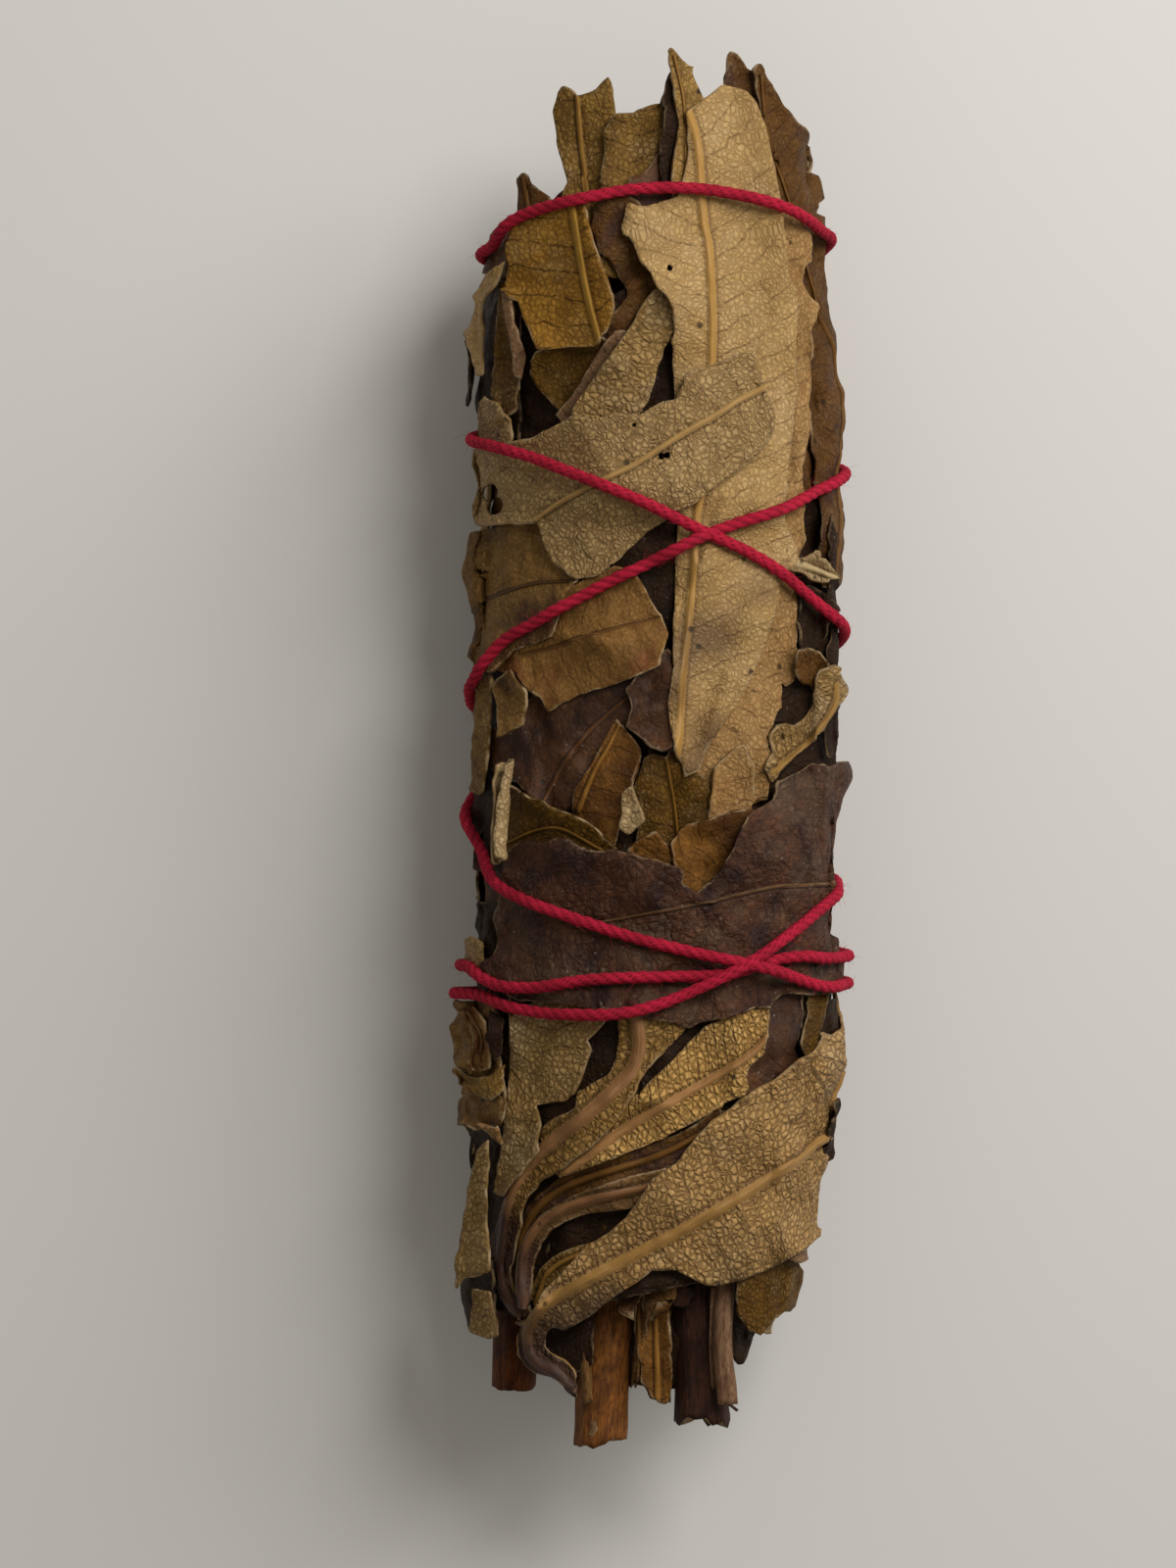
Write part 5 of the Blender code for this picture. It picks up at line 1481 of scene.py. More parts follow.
BLADES = (
    # Near-black leaves in the depth, which show through the gaps: partly their own dark colour, partly
    # painted shade that makes the gaps read black.
    Blade("deep_left_leaf", "dark", (-10.6, 40.5, -8.5, 44.2, -6.8, 45.6, -3, 46.4, -0.5, 46, 0.5, 44,
          0.5, 36, -1, 30, -4, 24, -9, 23, -12.4, 27, -12.2, 36), (-7, 23, -6, 46), crumple=0.45),
    Blade("deep_left_edge", "dark", (-12.4, 41.5, -13.8, 38, -14.6, 33, -14.8, 28, -14.4, 23, -10.8, 23,
          -10.6, 40.5), (-12.6, 24, -12, 41), crumple=0.4, lift=0.25),
    Blade("deep_middle_leaf", "dark", (-4.4, 8, -4.8, 18, -4.4, 27, -3.2, 36.5, -1, 37.6, 2.2, 37, 3.6, 28,
          4.6, 18, 3.8, 8, 0, 6.8), (0, 7, 0.4, 37), crumple=0.45),
    Blade("deep_left_scrap", "dark", (-14.6, 8, -9, 9.4, -1, 8, 2, 4, 0.6, -4, -3, -11, -9, -12, -14.4, -10,
          -15, 0), (-8, -12, -7, 9), crumple=0.7),
    Blade("deep_right_scrap", "dark", (2, 9, 6, 20, 14.6, 21, 15.6, 8, 15, -5, 8, -9, 1, -12, -1, -4), (7, -8,
          10, 20), crumple=0.7),
    Blade("deep_wrap_scrap", "dark", (-15, -13, -8, -12, 8, -14, 15.6, -16, 15.6, -27, 9, -32, -3, -33,
          -12, -31, -15.4, -24), (0, -33, 0, -13), crumple=0.7),
    Blade("deep_right_edge", "dark", (12.6, -20.6, 15.4, -20.8, 15.8, -23, 15.2, -27, 13, -27), (14, -27,
          14.2, -21)),
    Blade("deep_stem_scrap", "dark", (-15, -30, -4, -28, 9, -30, 13.6, -34, 12, -41, 4, -43.4, -3, -45,
          -9, -47.4, -13, -46, -14.6, -38), (-2, -46, 0, -29), crumple=0.7),
    Blade("stem_back_leaf", "dark", (-10.4, -42, -10.6, -47, -9.6, -49.8, -7.6, -50.8, -6.4, -52.4, -4, -50.4,
          -1, -52.2, 2, -52.6, 5, -50.4, 8.2, -49.6, 8.8, -46, 8.8, -42), (0, -52, 0, -43), crumple=0.5,
          level=-3.4),
    Blade("hook_scrap", "dark", (-9.8, -44, -8.9, -48.8, -7.6, -50.3, -6.2, -51.2, -4.8, -50.4, -4.6, -44),
          (-7, -50, -7, -45), crumple=0.4, level=-1.6),
    # The tips that stand past the top string.
    Blade("left_tip_leaf", "umber", (-11.6, 41, -11, 43.4, -10.9, 46.4, -10.4, 46.9, -9.9, 46, -7.6, 44.4,
          -7.2, 43.5, -7.2, 40, -11, 39.5), (-9.4, 40, -10.4, 46.6), ribbed=0.12, curl=0.3, lift=0.5),
    Blade("notched_tip_leaf", "gold", (-7.2, 40, -7.2, 44.8, -6.8, 46, -7.5, 48.4, -8, 51.7, -7.6, 53.4,
          -7.2, 53.9, -6.7, 53.7, -6, 53, -4.6, 53.5, -3.5, 54.5, -3.2, 54.2, -2.9, 51.3, -3.2, 50.6,
          -3.4, 48, -3.4, 40), (-5, 40, -5.2, 45, -5.8, 50, -6, 53), ribbed=0.26, taper=0.8, rise=0.35,
          crumple=0.35, quilt=0.16),
    Blade("rounded_tip_leaf", "gold", (-4, 38, -4.2, 43.4, -3.8, 50, -3, 51.4, -1.4, 51.3, -0.3, 52,
          0.9, 52.3, 1.4, 51.8, 1.5, 51.2, 0.6, 48, 0.4, 46, 0.4, 38), (-2, 38, -1.2, 52)),
    Blade("tip_fold", "plum", (-1.8, 41, -1.8, 46.1, -0.6, 46.5, 0.8, 48.6, 1.8, 50.9, 2.1, 51.1, 2.4, 50.4,
          1.8, 46.6, 1.6, 41), (0, 41, 2, 51)),
    Blade("tip_shadow_leaf", "dark", (0.8, 52.2, 1.5, 54.8, 1.9, 54.4, 2.6, 49.5, 2.6, 45, 0.9, 45, 0.7, 48.5,
          1.2, 51.8), (2, 45, 1.5, 54.6)),
    Blade("pointed_tip_leaf", "tip", (1.3, 56.6, 1.6, 56.9, 3.1, 55.3, 3.5, 55.3, 3.4, 54.9, 4.4, 52.4,
          4.4, 44, 1.8, 42, 1.8, 46.5, 2.3, 50.3), (3, 43, 2.7, 52, 1.9, 56), ribbed=0.16),
    Blade("split_tip_leaf", "umber", (6, 45, 6, 53.8, 6.3, 56.3, 6.5, 56.6, 6.9, 56.4, 7.8, 55.2, 8.9, 54.8,
          10, 50, 10.4, 45), (8, 45, 7, 56)),
    Blade("right_dark_leaf", "umber", (8.3, 55.1, 9, 55.8, 11, 52.3, 12.1, 51.2, 12.8, 51.1, 13.3, 50.2,
          13.1, 48.4, 13.6, 46.2, 13.3, 43.8, 14.2, 42.6, 14.6, 41, 14.5, 39.4, 14.9, 38, 14.9, 34,
          15.7, 30.6, 15.5, 28.6, 16.1, 26, 15.4, 24.2, 14.9, 13, 13.8, 13, 13.7, 20, 13, 27, 12, 32, 11, 40,
          9.5, 43, 9.3, 47, 9.4, 50), (14.4, 13, 14.4, 30, 12.6, 40, 9.2, 52, 9, 54.6), ribbed=0.14,
          torn=0.22, crumple=0.45),
    Blade("right_edge_leaf", "dark", (14.8, 19, 15.1, 17, 15.1, 13, 15.4, 10, 15.4, 7, 15.1, 5.2, 15.4, 3.6,
          15.5, 1, 15.2, -0.6, 14.5, -1, 14.3, 1, 14.6, 13, 14.5, 18), (15, -1, 15, 20), lift=0.2),
    Blade("right_tan_leaf", "orange", (10.6, 44, 12.4, 43.4, 12.9, 42.3, 13.1, 39.8, 12.6, 39, 12.6, 38,
          13.4, 36, 13, 27.5, 13.1, 26, 12.5, 22.8, 12.5, 17, 11.6, 14.4, 11.9, 12, 11.9, 6.6, 11.4, 5.2,
          11, 4.9, 10.6, 5.2, 10.7, 3.2, 9.4, 0.8, 9.6, 0, 10.1, -0.6, 10, -1.6, 9.5, -2.6, 9.6, -4.4,
          7.6, -5, 5.4, -4, 3.6, -4, 3, -3, 5, 2, 7, 8, 8, 12, 9, 30, 9, 38), (7.6, -4, 9.4, 8, 10.8, 20,
          11.4, 32, 11, 44), torn=0.22, crumple=0.4, lift=0.15),
    # The middle of the bundle.
    Blade("recess_leaf", "umber", (-5, 42, -4.4, 44.2, -2, 44.6, -1, 44, 0.4, 41, 1, 38, 0.8, 36, -1, 33.6,
          -1.7, 33, -3.2, 32.6, -4.1, 33.1, -3.4, 34.6, -1.9, 36.2, -1.9, 36.9, -3.4, 39.2, -4.2, 40,
          -4.6, 41.4), (-1, 33, -2, 38, -3, 44), curl=0.5),
    Blade("left_edge_scrap", "umber", (-13.4, 42, -12.2, 43, -11, 43, -12, 38, -13, 38.6, -13.8, 39.6),
          (-12.6, 38, -12.2, 43), lift=0.2),
    Blade("left_inner_strip", "olive", (-12.4, 37.6, -11.9, 38, -11.3, 36, -11.2, 33, -10.7, 31, -11, 27.4,
          -12.4, 26.6, -13.1, 28.6), (-12, 27, -12, 38)),
    Blade("left_rim", "tan", (-12, 39.5, -13.2, 38.6, -14, 37, -14.3, 35.2, -14.3, 32.8, -14, 30.4,
          -13.7, 30.4, -13.9, 33, -13.8, 35.1, -13.4, 36.8, -12.4, 38.4), (-13.9, 31, -14.1, 34, -13.6, 36.9,
          -12.3, 39), curl=0.6, crumple=0.5, lift=0.6),
    Blade("left_twist", "pink", (-12.1, 37, -11.5, 36.4, -11.2, 34.6, -10.2, 31.6, -10.6, 29.8, -11.2, 30.2,
          -11.1, 31.6, -12, 34.8), (-10.8, 30, -11.8, 36.6), curl=0.5, lift=0.5),
    Blade("left_flake", "dark", (-15, 33.5, -14.5, 30, -14.7, 28, -15.3, 28.4, -15.6, 29.8), (-15, 28,
          -15, 33.4), lift=0.4),
    Blade("left_patch", "mid", (-14.1, 28.2, -13.6, 28.8, -13.3, 28.3, -12.4, 28.2, -11.8, 27, -11.5, 25.4,
          -11.6, 23.4, -13.8, 23.4, -14.2, 25.6), (-13, 24, -13, 28), torn=0.3),
    Blade("pocket_leaf", "olive", (-9.8, 31.2, -9.3, 31.9, -4.2, 33.1, -3.6, 32.6, -6.6, 27.6, -7.6, 27.2,
          -8.2, 28.2, -9.4, 29.4, -9.8, 30.2), (-7, 27.6, -6.8, 32.4), curl=0.8),
    Blade("pocket_strip", "pink", (-7.8, 26.9, -6.4, 28.4, -4.2, 32, -3, 33.5, -2, 33.5, -5.8, 27, -7, 26),
          (-7, 26.4, -2.6, 33.4), lift=0.2),
    Blade("plum_leaf", "plum", (-12.8, 1.6, -11.4, 1.2, -10.6, 2, -10.1, 3.8, -9, 4.6, -8, 3.6, 0.6, 7.4,
          1.6, 6.4, 1.5, 3.6, -2, 1.6, -3, 0.6, -4.4, -1, -5.6, -3, -6.2, -5, -8, -5.4, -9.6, -4.6,
          -10.8, -2.8, -12, -2.8, -13.4, -1), (-9, -5, -6.4, -0.4, 1, 6.4), ribbed=0.2, crumple=0.7,
          spacing=4),
    Blade("olive_leaf", "olive", (-0.6, -0.9, 0.4, -0.7, 1.2, -1, 1.8, 0.4, 2.8, -0.6, 3.6, -2, 4.5, -2.6,
          4.8, -4, 4.6, -6, 3.6, -7, 2, -11.4, 0, -10.8, -1.2, -8.6, -0.9, -5, -1.4, -3.4), (2.4, -11, 2, -6,
          1.2, -1), ribbed=0.12, crumple=0.4),
    Blade("amber_fold_leaf", "amber", (-2.8, 2.2, -1, -0.1, -0.9, -1, -2, -4.2, -2.2, -6, -3.4, -9.4,
          -5.6, -9, -6.4, -5.4, -6.4, -3.8), (-5.8, -5, -4.6, -2, -3.2, 0.4, -2.4, 2.2), ribbed=0.2,
          crumple=0.4),
    Blade("white_crumple", "pale", (-2.4, -3.8, -1.6, -3.2, -0.6, -6, -1.4, -6.6, -1.8, -7.2, -2.6, -6.6,
          -2.2, -5.4), (-1.8, -7, -1.8, -3.4), curl=0.7, crumple=0.5, lift=0.2),
    Blade("middle_crumple", "plum", (-1.9, 4.6, -1.6, 3, -2, 1.6, -0.2, 0.2, 0.8, -0.3, 1.6, -0.1, 2.2, 2.2,
          2.3, 3.8, 2, 6, 1.4, 8, -1, 6), (0, 0, 0.6, 7), curl=0.9, crumple=0.7),
    Blade("right_purple_scrap", "dark", (11.9, 13, 13, 13.2, 14.4, 12.4, 15, 11.2, 13.8, 8.2, 12, 7), (12, 8,
          14, 12), crumple=0.5),
    Blade("right_olive_scrap", "umber", (12, 7.8, 12.8, 8, 13.8, 7.6, 14.3, 6.8, 14.6, 6, 14.4, 4.8,
          13.7, 4.1, 13, 4.9, 12.3, 5, 11.9, 5.6, 11.7, 6.6), (12, 6.8, 14.2, 5.4), curl=0.7),
    Blade("frayed_scrap", "pale", (11.4, 15.3, 13.3, 15.6, 13.6, 15.9, 13.7, 15.2, 14.3, 15, 14.4, 14.4,
          15, 13.9, 14.6, 13.4, 11.2, 14.4), (11.6, 15, 14.8, 13.8), ribbed=0.3, torn=0.3, curl=0.6),
    Blade("curled_leaf", "rough", (9.5, 0.9, 10.2, 1.7, 11, 1.9, 11.7, 1.7, 12.5, 2.3, 13.1, 3.3, 13.6, 6.2,
          14.1, 6.7, 14.5, 5.8, 14.4, 4.4, 13.7, 1.3, 12.8, 0, 11.4, -0.9, 9.8, -2.9, 9.3, -1.8, 9.6, -0.4),
          (9.8, -2, 12, -0.4, 13.5, 1.2, 14, 3, 14.2, 5), ribbed=0.35, rise=0.4, curl=0.6, slant=0.2,
          spacing=0.9, lift=-0.2),
    # The dark leaves that come round from the left side.
    Blade("caramel_leaf", "caramel", (-10, 10, -7, 12.6, -5, 13.8, -3, 14.6, -1.4, 14, 0.7, 10.7, 1.4, 9,
          0.7, 7.3, 0.7, 6.6, -3, 5, -6, 4.1, -8.4, 2.8, -9, 3.9, -10, 4.6, -11.2, 6.2, -11.8, 6, -12.6, 6.2,
          -11.4, 8.6), (-10.6, 7.4, -8, 8, -6, 8.7, 0.6, 10.4), ribbed=0.14, rise=-0.12, torn=0.1, curl=0.55),
    Blade("small_curved_leaf", "brown", (-11.4, 6.4, -11.1, 5.6, -10.2, 4.4, -10.4, 1.8, -12.6, 0.7,
          -12.3, 1.6, -12.9, 4.6, -12.6, 5.4), (-12.3, 1, -11.8, 3.6, -11.6, 6.2), curl=0.8, lift=0.3),
    Blade("gold_strip", "gold", (-13.6, 6.4, -13.1, 5.4, -13.1, 3, -13.5, -2, -13.9, -4, -14.4, -3.6,
          -14.1, 5), (-14, -4, -13.5, 6), torn=0.12, lift=0.5),
    Blade("dark_left_leaf", "brown", (-15.3, 17.6, -10.4, 18.4, -8.6, 19, -7, 18, -6, 15, -5.9, 13.5,
          -6.8, 12.4, -8, 8.9, -11.2, 7.8, -13, 6.2, -14.2, 6.4, -15, 7.6, -15.6, 10.2, -15.7, 12, -15.1, 16),
          (-15.6, 11, -13, 12.2, -11.4, 12.8, -9, 13.3, -6.4, 13.4), ribbed=0.14, rise=0.15, curl=0.35,
          crumple=0.35),
    Blade("rust_leaf", "rust", (-11.4, 42.4, -10.8, 43.2, -9.5, 43.7, -6.4, 44.2, -5.4, 43.9, -4.8, 40.6,
          -3.1, 36.4, -3, 35.4, -3.6, 33.8, -4.5, 32.3, -9.4, 32.2, -11, 36.6, -11.9, 37.4, -11.7, 39.3,
          -12, 40.3), (-6.5, 44.2, -6, 40.8, -5.1, 36, -4.2, 32.5), ribbed=0.27, taper=0.8, rise=0.35,
          slant=-0.35, spacing=2.2),
    Blade("fold_leaf", "rough", (0.4, 36.9, 1.1, 36.4, 1.7, 35, 2, 33.6, 1, 32, 0.2, 29.2, -0.9, 26.4, -2, 26,
          -6, 25.8, -6.4, 27, -5.8, 28.2, -2, 33.4, -0.6, 35.8), (-4, 26, 0.8, 36), torn=0.12, lift=0.3),
    Blade("long_leaf", "tan", (2.75, 51.3, 5.8, 53.8, 7.8, 53.4, 8.6, 52.5, 9.3, 50.8, 9.7, 49, 10.5, 44.9,
          11.3, 38.2, 11.9, 37.2, 12, 36, 11.7, 27, 10.9, 20, 10.9, 18.6, 11.9, 16, 11.9, 15.4, 10.5, 13.4,
          10.4, 12, 9.2, 8, 6.8, 3, 4.8, 0.4, 3.8, -1.9, 2.6, -2.6, 2.4, -1.4, 1.9, -0.6, 1.3, 3.4, 1.8, 6.6,
          1.9, 15, 2.4, 19.6, 1.7, 32.8, 1.9, 33.6, 1.8, 35.2, 1.2, 36.4, 0.5, 36.9, -0.1, 38.2, -0.9, 39,
          -1.4, 40.6, -1.8, 41.2, -2.3, 41.4, -2.5, 42, -2.1, 42.9, -2.1, 43.6, -1.8, 44, -1.2, 43.7,
          -0.6, 43.7, 2.2, 44.6, 3, 47.4, 3.1, 48.6), (3, 51.5, 3.5, 50, 3.8, 48.6, 4.3, 42.4, 4.7, 40.4,
          5, 34, 4.9, 31, 4.1, 21, 3.7, 18.6, 3.3, 13, 2.5, 5, 2.2, 0, 1.9, -1.2), ribbed=0.32, taper=0.85,
          rise=0.4, torn=0.08, curl=0.25, crumple=0.22, slant=-0.55, dim=(24, -16),
          holes=((1.5, 38.6, 0.28),)),
    Blade("mid_leaf", "mid", (-14.6, 24.4, -9.9, 24.9, -6.2, 26.8, -5, 26.3, -3, 26.8, -1, 26.6, 0.4, 27.6,
          2, 28.1, 2.7, 29.4, 2.6, 29.8, 3.4, 30.4, 4.4, 30.6, 7.2, 31.8, 8, 31.9, 8.4, 31.8, 8.5, 30.9,
          8.9, 30.4, 9, 29.6, 9.5, 29.3, 9.3, 28.8, 9.7, 28.2, 10.1, 26.6, 10, 25.6, 9.6, 24.8, 8.5, 23.5,
          5, 20.9, 3.4, 19.4, 2.2, 18.9, -0.4, 17.2, -3.4, 14.5, -4.4, 13.8, -5.2, 13.6, -6.6, 13.8,
          -7.8, 14.7, -8.6, 15.9, -9.2, 18.1, -14.4, 18.2, -14.9, 19.4), (9.45, 29.2, 7, 28, 5, 26.6, 3, 25.5,
          -2, 22.4, -4.2, 21.4, -7.8, 19.5, -9.2, 18.6), ribbed=0.24, taper=0.8, rise=0.3, torn=0.1,
          curl=0.45, slant=0.2, spacing=2.6, lift=0.35, holes=((-13.2, 20.8, 0.72), (-12.8, 19.7, 0.75),
          (0.8, 23.4, 0.3), (1.25, 23.5, 0.3), (-1.4, 25.9, 0.22)), replaced=("mid_leaf", "lobe_leaf")),
    # The pieces above and under the broad dark leaf.
    Blade("tan_fragment", "orange", (5.2, -1.6, 6.8, -0.1, 7.2, 0.1, 7.6, 0, 8.3, -1.6, 8.2, -4, 8, -5.4,
          7, -6, 4.5, -6.6), (6.3, -6.4, 6.9, -0.2), torn=0.1, curl=0.5),
    Blade("tucked_left_leaf", "olive", (-12, -3, -5, -6.4, -2.8, -8.3, -2.4, -10, -6, -11, -11.4, -10.4,
          -12.4, -6), (-12, -8, -8, -6.6, -4, -8.4), ribbed=0.1, curl=0.6),
    Blade("amber_tip", "amber", (0.4, -6.9, 1.4, -8.4, 1.9, -11, 0, -10.4, -1.4, -9.6, -2, -8.4, -0.8, -7.4),
          (0.4, -10, 0.2, -7), curl=0.5),
    Blade("tucked_right_leaf", "amber", (1.6, -7.8, 2.4, -6.6, 2.9, -6.3, 3.8, -6.2, 6.8, -5.2, 8, -5.1,
          8.8, -5.4, 9, -7, 8, -9, 6.4, -11, 4.6, -12.4, 3, -12.4, 2.2, -10.6), (2.2, -9, 5, -7.2, 8.4, -6),
          curl=0.5),
    # The ribbed leaves that are folded up from the stems.
    Blade("right_crumple", "plum", (9.2, -20.4, 10.2, -19.6, 12.2, -19.6, 12.4, -22, 11.8, -24.6, 12.2, -25.8,
          9.6, -27.8, 8.4, -28.4, 7.4, -28.2, 7.4, -26.2, 9, -24.4), (8, -28, 11, -20), curl=0.6,
          crumple=0.7),
    Blade("right_pale_strip", "olive", (12.6, -19.4, 14.2, -19.4, 14.6, -20.6, 13.4, -25, 12.6, -25.6,
          12.2, -24, 12.7, -21.8), (13, -25, 13.6, -20), crumple=0.4),
    Blade("folded_strip", "gold", (-3, -39.4, -5, -40.4, -8, -41.4, -9, -42.4, -9.7, -43.6, -9.8, -45,
          -9.2, -46, -4, -41.4), (-9.4, -45.4, -8.4, -42.8, -4, -40.4), ribbed=0.25, rise=0.3),
    Blade("dark_rib_leaf", "umber", (5.6, -30.2, 4.8, -31.8, 1.6, -34, -6, -36.4, -9, -38.6, -9.8, -40,
          -10.2, -41.8, -10.2, -44, -9.8, -46.4, -11.2, -46, -11.6, -44, -11.3, -41.6, -10.8, -39.6,
          -10, -37.6, -9, -36.4, -7.6, -35.2, -4.4, -33.6, 2, -31.4, 3.6, -30.6, 5.6, -29.2), (-10.8, -45.4,
          -10.7, -41, -9.4, -37.8, -6.8, -35.7, -3.6, -34.4, 0, -33.3, 3.6, -31.6, 5.2, -30.4), ribbed=0.35,
          rise=0.45, torn=0.1, curl=0.5),
    Blade("ribbed_leaf_b", "rib_tan", (9.6, -21.2, 7, -21.4, 4.2, -22.7, 2, -25.1, -1.8, -28.7, -3.4, -30.8,
          -8, -34.4, -7.4, -35, 1.2, -31.6, 4, -30, 5, -29.2, 7.5, -28.3, 7.9, -27.6, 7.7, -26.8, 7.9, -26,
          9.2, -24.8), (-7, -34.5, -3, -31.5, -1, -30.2, 7, -25.6, 8.4, -24.6, 9.3, -23.6), ribbed=0.45,
          rise=0.5, torn=0.08, quilt=0.14, slant=0.35, spacing=0.95),
    Blade("ribbed_leaf_a", "rib_gold", (-2.6, -20.6, -2.7, -24, -2.9, -25.2, -3.4, -26.4, -6, -28,
          -6.2, -29.2, -8.4, -30.4, -9, -31.2, -9.2, -32.4, -10, -33.8, -11.2, -35.2, -12, -36.8,
          -12.4, -38.6, -13.2, -40.6, -13.2, -42.4, -12.4, -45, -11.2, -46.2, -10.2, -46.8, -9.9, -46,
          -11, -44.6, -11.4, -43, -10.6, -38, -10.2, -36.8, -9, -35.4, -5, -32.4, -3.6, -31, -2.4, -29.6,
          -0.4, -26, 2.6, -23.2, 2.8, -22.7, 2.6, -20.6), (-10.9, -46.2, -12.1, -44, -12.4, -42, -12.2, -40,
          -11.4, -36.4, -10.4, -34.6, -9, -32.9, -5, -29.6, -3, -27.7, -1.5, -26, -1, -24.4, -1.3, -20.6),
          ribbed=0.62, taper=0.85, rise=0.65, torn=0.12, quilt=0.14, spacing=1.1, dim=(-35.5, -40)),
    Blade("pink_rib_leaf", "rib_pink", (1.2, -34.2, -1.8, -34.8, -6.6, -36.4, -9.2, -38.2, -10.2, -39.6,
          -10.9, -41.4, -11.1, -43.6, -10.8, -45.6, -9.8, -45.4, -9.6, -42, -9, -40.4, -8.2, -39.2, -7, -38.5,
          -5, -37.8, -1.4, -37.4, -0.4, -36.6, 1.2, -35.8), (-10.4, -45.4, -10.6, -42.6, -10.2, -40.6,
          -9.2, -38.9, -7.6, -37.7, -5.6, -36.9, -3.4, -36.3, -1.2, -35.9, 1, -35.2), ribbed=0.5, rise=0.5,
          torn=0.06, dim=(-38, -42)),
    Blade("rough_tan_leaf", "rough", (-11.6, -19, -11.5, -21.9, -8, -20, -5.4, -20, -3.2, -20.4, -3.8, -22.2,
          -5.3, -23.8, -4.9, -24.5, -6.3, -28, -7, -28.8, -9.3, -29.1, -9, -30.6, -9.5, -32, -9.2, -32.7,
          -12.2, -36.7, -12.8, -36.4, -11.8, -30, -11.5, -25), (-12, -36, -10.4, -30, -8.6, -20), torn=0.12,
          curl=0.5, crumple=0.35),
    Blade("crumpled_leaf", "brown", (-14.6, -20.8, -12.8, -20.6, -12, -22.6, -12.3, -26, -11.8, -29,
          -12.2, -31, -14, -31.2, -15.4, -30.5, -15.9, -28, -15.5, -25, -15.9, -22.8, -15.3, -21), (-14, -31,
          -14, -26, -14.4, -21), torn=0.2, curl=1, crumple=1.1),
    Blade("crumple_spur", "brown", (-13.6, -27.6, -15.2, -28.4, -15.9, -29.3, -16.9, -32, -15.2, -30.7,
          -13.9, -31.2, -12.4, -30.8, -12.2, -28.4), (-16.6, -31.8, -13, -29), curl=1.2, crumple=1),
    Blade("crumple_fold", "gold", (-15.7, -26.2, -14.4, -27, -13, -26.8, -11.9, -25.8, -11.9, -27.6,
          -13.2, -28.6, -14.8, -28.4, -15.8, -27.6), (-15.4, -27.2, -12.2, -27), curl=0.8, crumple=0.9),
    Blade("crumple_lip", "caramel", (-15.4, -21.6, -14.6, -21.2, -13.6, -22.4, -13.2, -24.4, -13.3, -26.2,
          -14.2, -26.6, -14.9, -25.8, -14.4, -24.2), (-14, -26.4, -13.8, -24, -15, -21.6), ribbed=0.2,
          rise=0.3, curl=0.5, crumple=0.7, lift=0.1),
    Blade("yellow_scrap", "orange", (-14.2, -30.7, -12.3, -30.9, -12.1, -32.5), (-13.8, -31, -12.3, -32),
          curl=0.3),
    Blade("left_strip", "mid", (-14.4, -15.6, -13.6, -16, -13.6, -17.8, -14.2, -18.4, -15.2, -18,
          -15.3, -16.4), (-14.6, -18, -14.4, -15.8), curl=0.6, lift=0.2),
    Blade("left_hole_scrap", "dark", (-13.2, -21.4, -12.2, -21.8, -12, -24.6, -12.6, -25.6, -13.3, -24),
          (-12.6, -25, -12.7, -22), curl=0.2),
    Blade("left_low_leaf", "rough", (-13.3, -31.9, -13.5, -37.4, -13.2, -42.6, -15.2, -43.4, -15.9, -44.2,
          -15.9, -41.7, -14.9, -36, -14.2, -32.7), (-15.4, -43, -14.6, -37, -13.8, -32.4), curl=0.9,
          crumple=0.5, lift=0.2, replaced=("rolled_leaf",)),
    Blade("left_low_pocket", "dark", (-15.8, -42, -13.1, -42, -12.6, -47.8, -13.4, -48.2, -14.9, -47.7,
          -15.7, -46.2), (-14, -48, -14.4, -42), level=2.2),
    Blade("left_low_flap", "rough", (-14.6, -44.4, -13.1, -44.4, -12.4, -48, -13.2, -48.4, -14.9, -47.9),
          (-13.6, -48.2, -13.8, -44.6), curl=0.6, level=2.7),
    Blade("end_leaf", "olive", (7, -41, 7, -45, 7.2, -46.4, 8, -47.7, 9, -48, 10.2, -46.6, 11, -46.2,
          11.5, -46.4, 12, -46, 12.5, -44.6, 11.6, -40, 9, -37, 6.8, -37), (9, -48, 9.4, -38), crumple=0.4),
    Blade("pink_tip", "pink", (12.4, -40, 13.6, -40, 13.7, -41.8, 12.2, -42.2, 11.4, -41.9, 11.4, -40),
          (13, -40, 12.6, -42)),
    Blade("dark_curl", "dark", (15.1, -29.2, 15.9, -28.9, 16.2, -30.2, 16, -32.5, 15.4, -34, 14.5, -34.3),
          (14.9, -34, 15.5, -29.4), curl=0.9, crumple=0.6, level=2.1),
    Blade("big_leaf", "big", (15.9, -19, 15.4, -21.6, 14.2, -23.6, 13.8, -23.2, 13, -24.8, 11.8, -25.8,
          10.2, -27, 8, -28, 6.4, -29.4, 5, -30.2, 2, -33.6, 0, -35, -2, -38.1, -3.4, -39.4, -5.2, -40.4,
          -8.4, -43.9, -10.6, -47, -10.9, -48.2, -10.8, -49.6, -10.2, -50.6, -9.4, -51.1, -8.2, -51.3,
          -7.2, -51.9, -6.6, -52.7, -6.1, -53, -6, -52.2, -6.3, -50.8, -7, -50, -8.2, -49.4, -8.6, -48.8,
          -8.4, -47.6, -7.8, -47.2, -7.2, -47.5, -5.2, -46.4, 0, -42.4, 2, -42.4, 4.4, -43.8, 5.4, -43.8,
          7.6, -43.3, 10, -42.4, 12.2, -41.2, 13.6, -39.8, 14.2, -37, 13.8, -33.4, 14.6, -32.2, 16.2, -28.6,
          16.2, -27.4, 15.4, -25.8, 16.4, -19), (-6.6, -52.2, -7.8, -50.9, -9.2, -50.2, -10, -49.2,
          -10.1, -47.8, -9.4, -46.2, -8, -44.9, -6, -43.7, 0, -40.5, 10, -34.9, 12, -33.7, 13.4, -32.7,
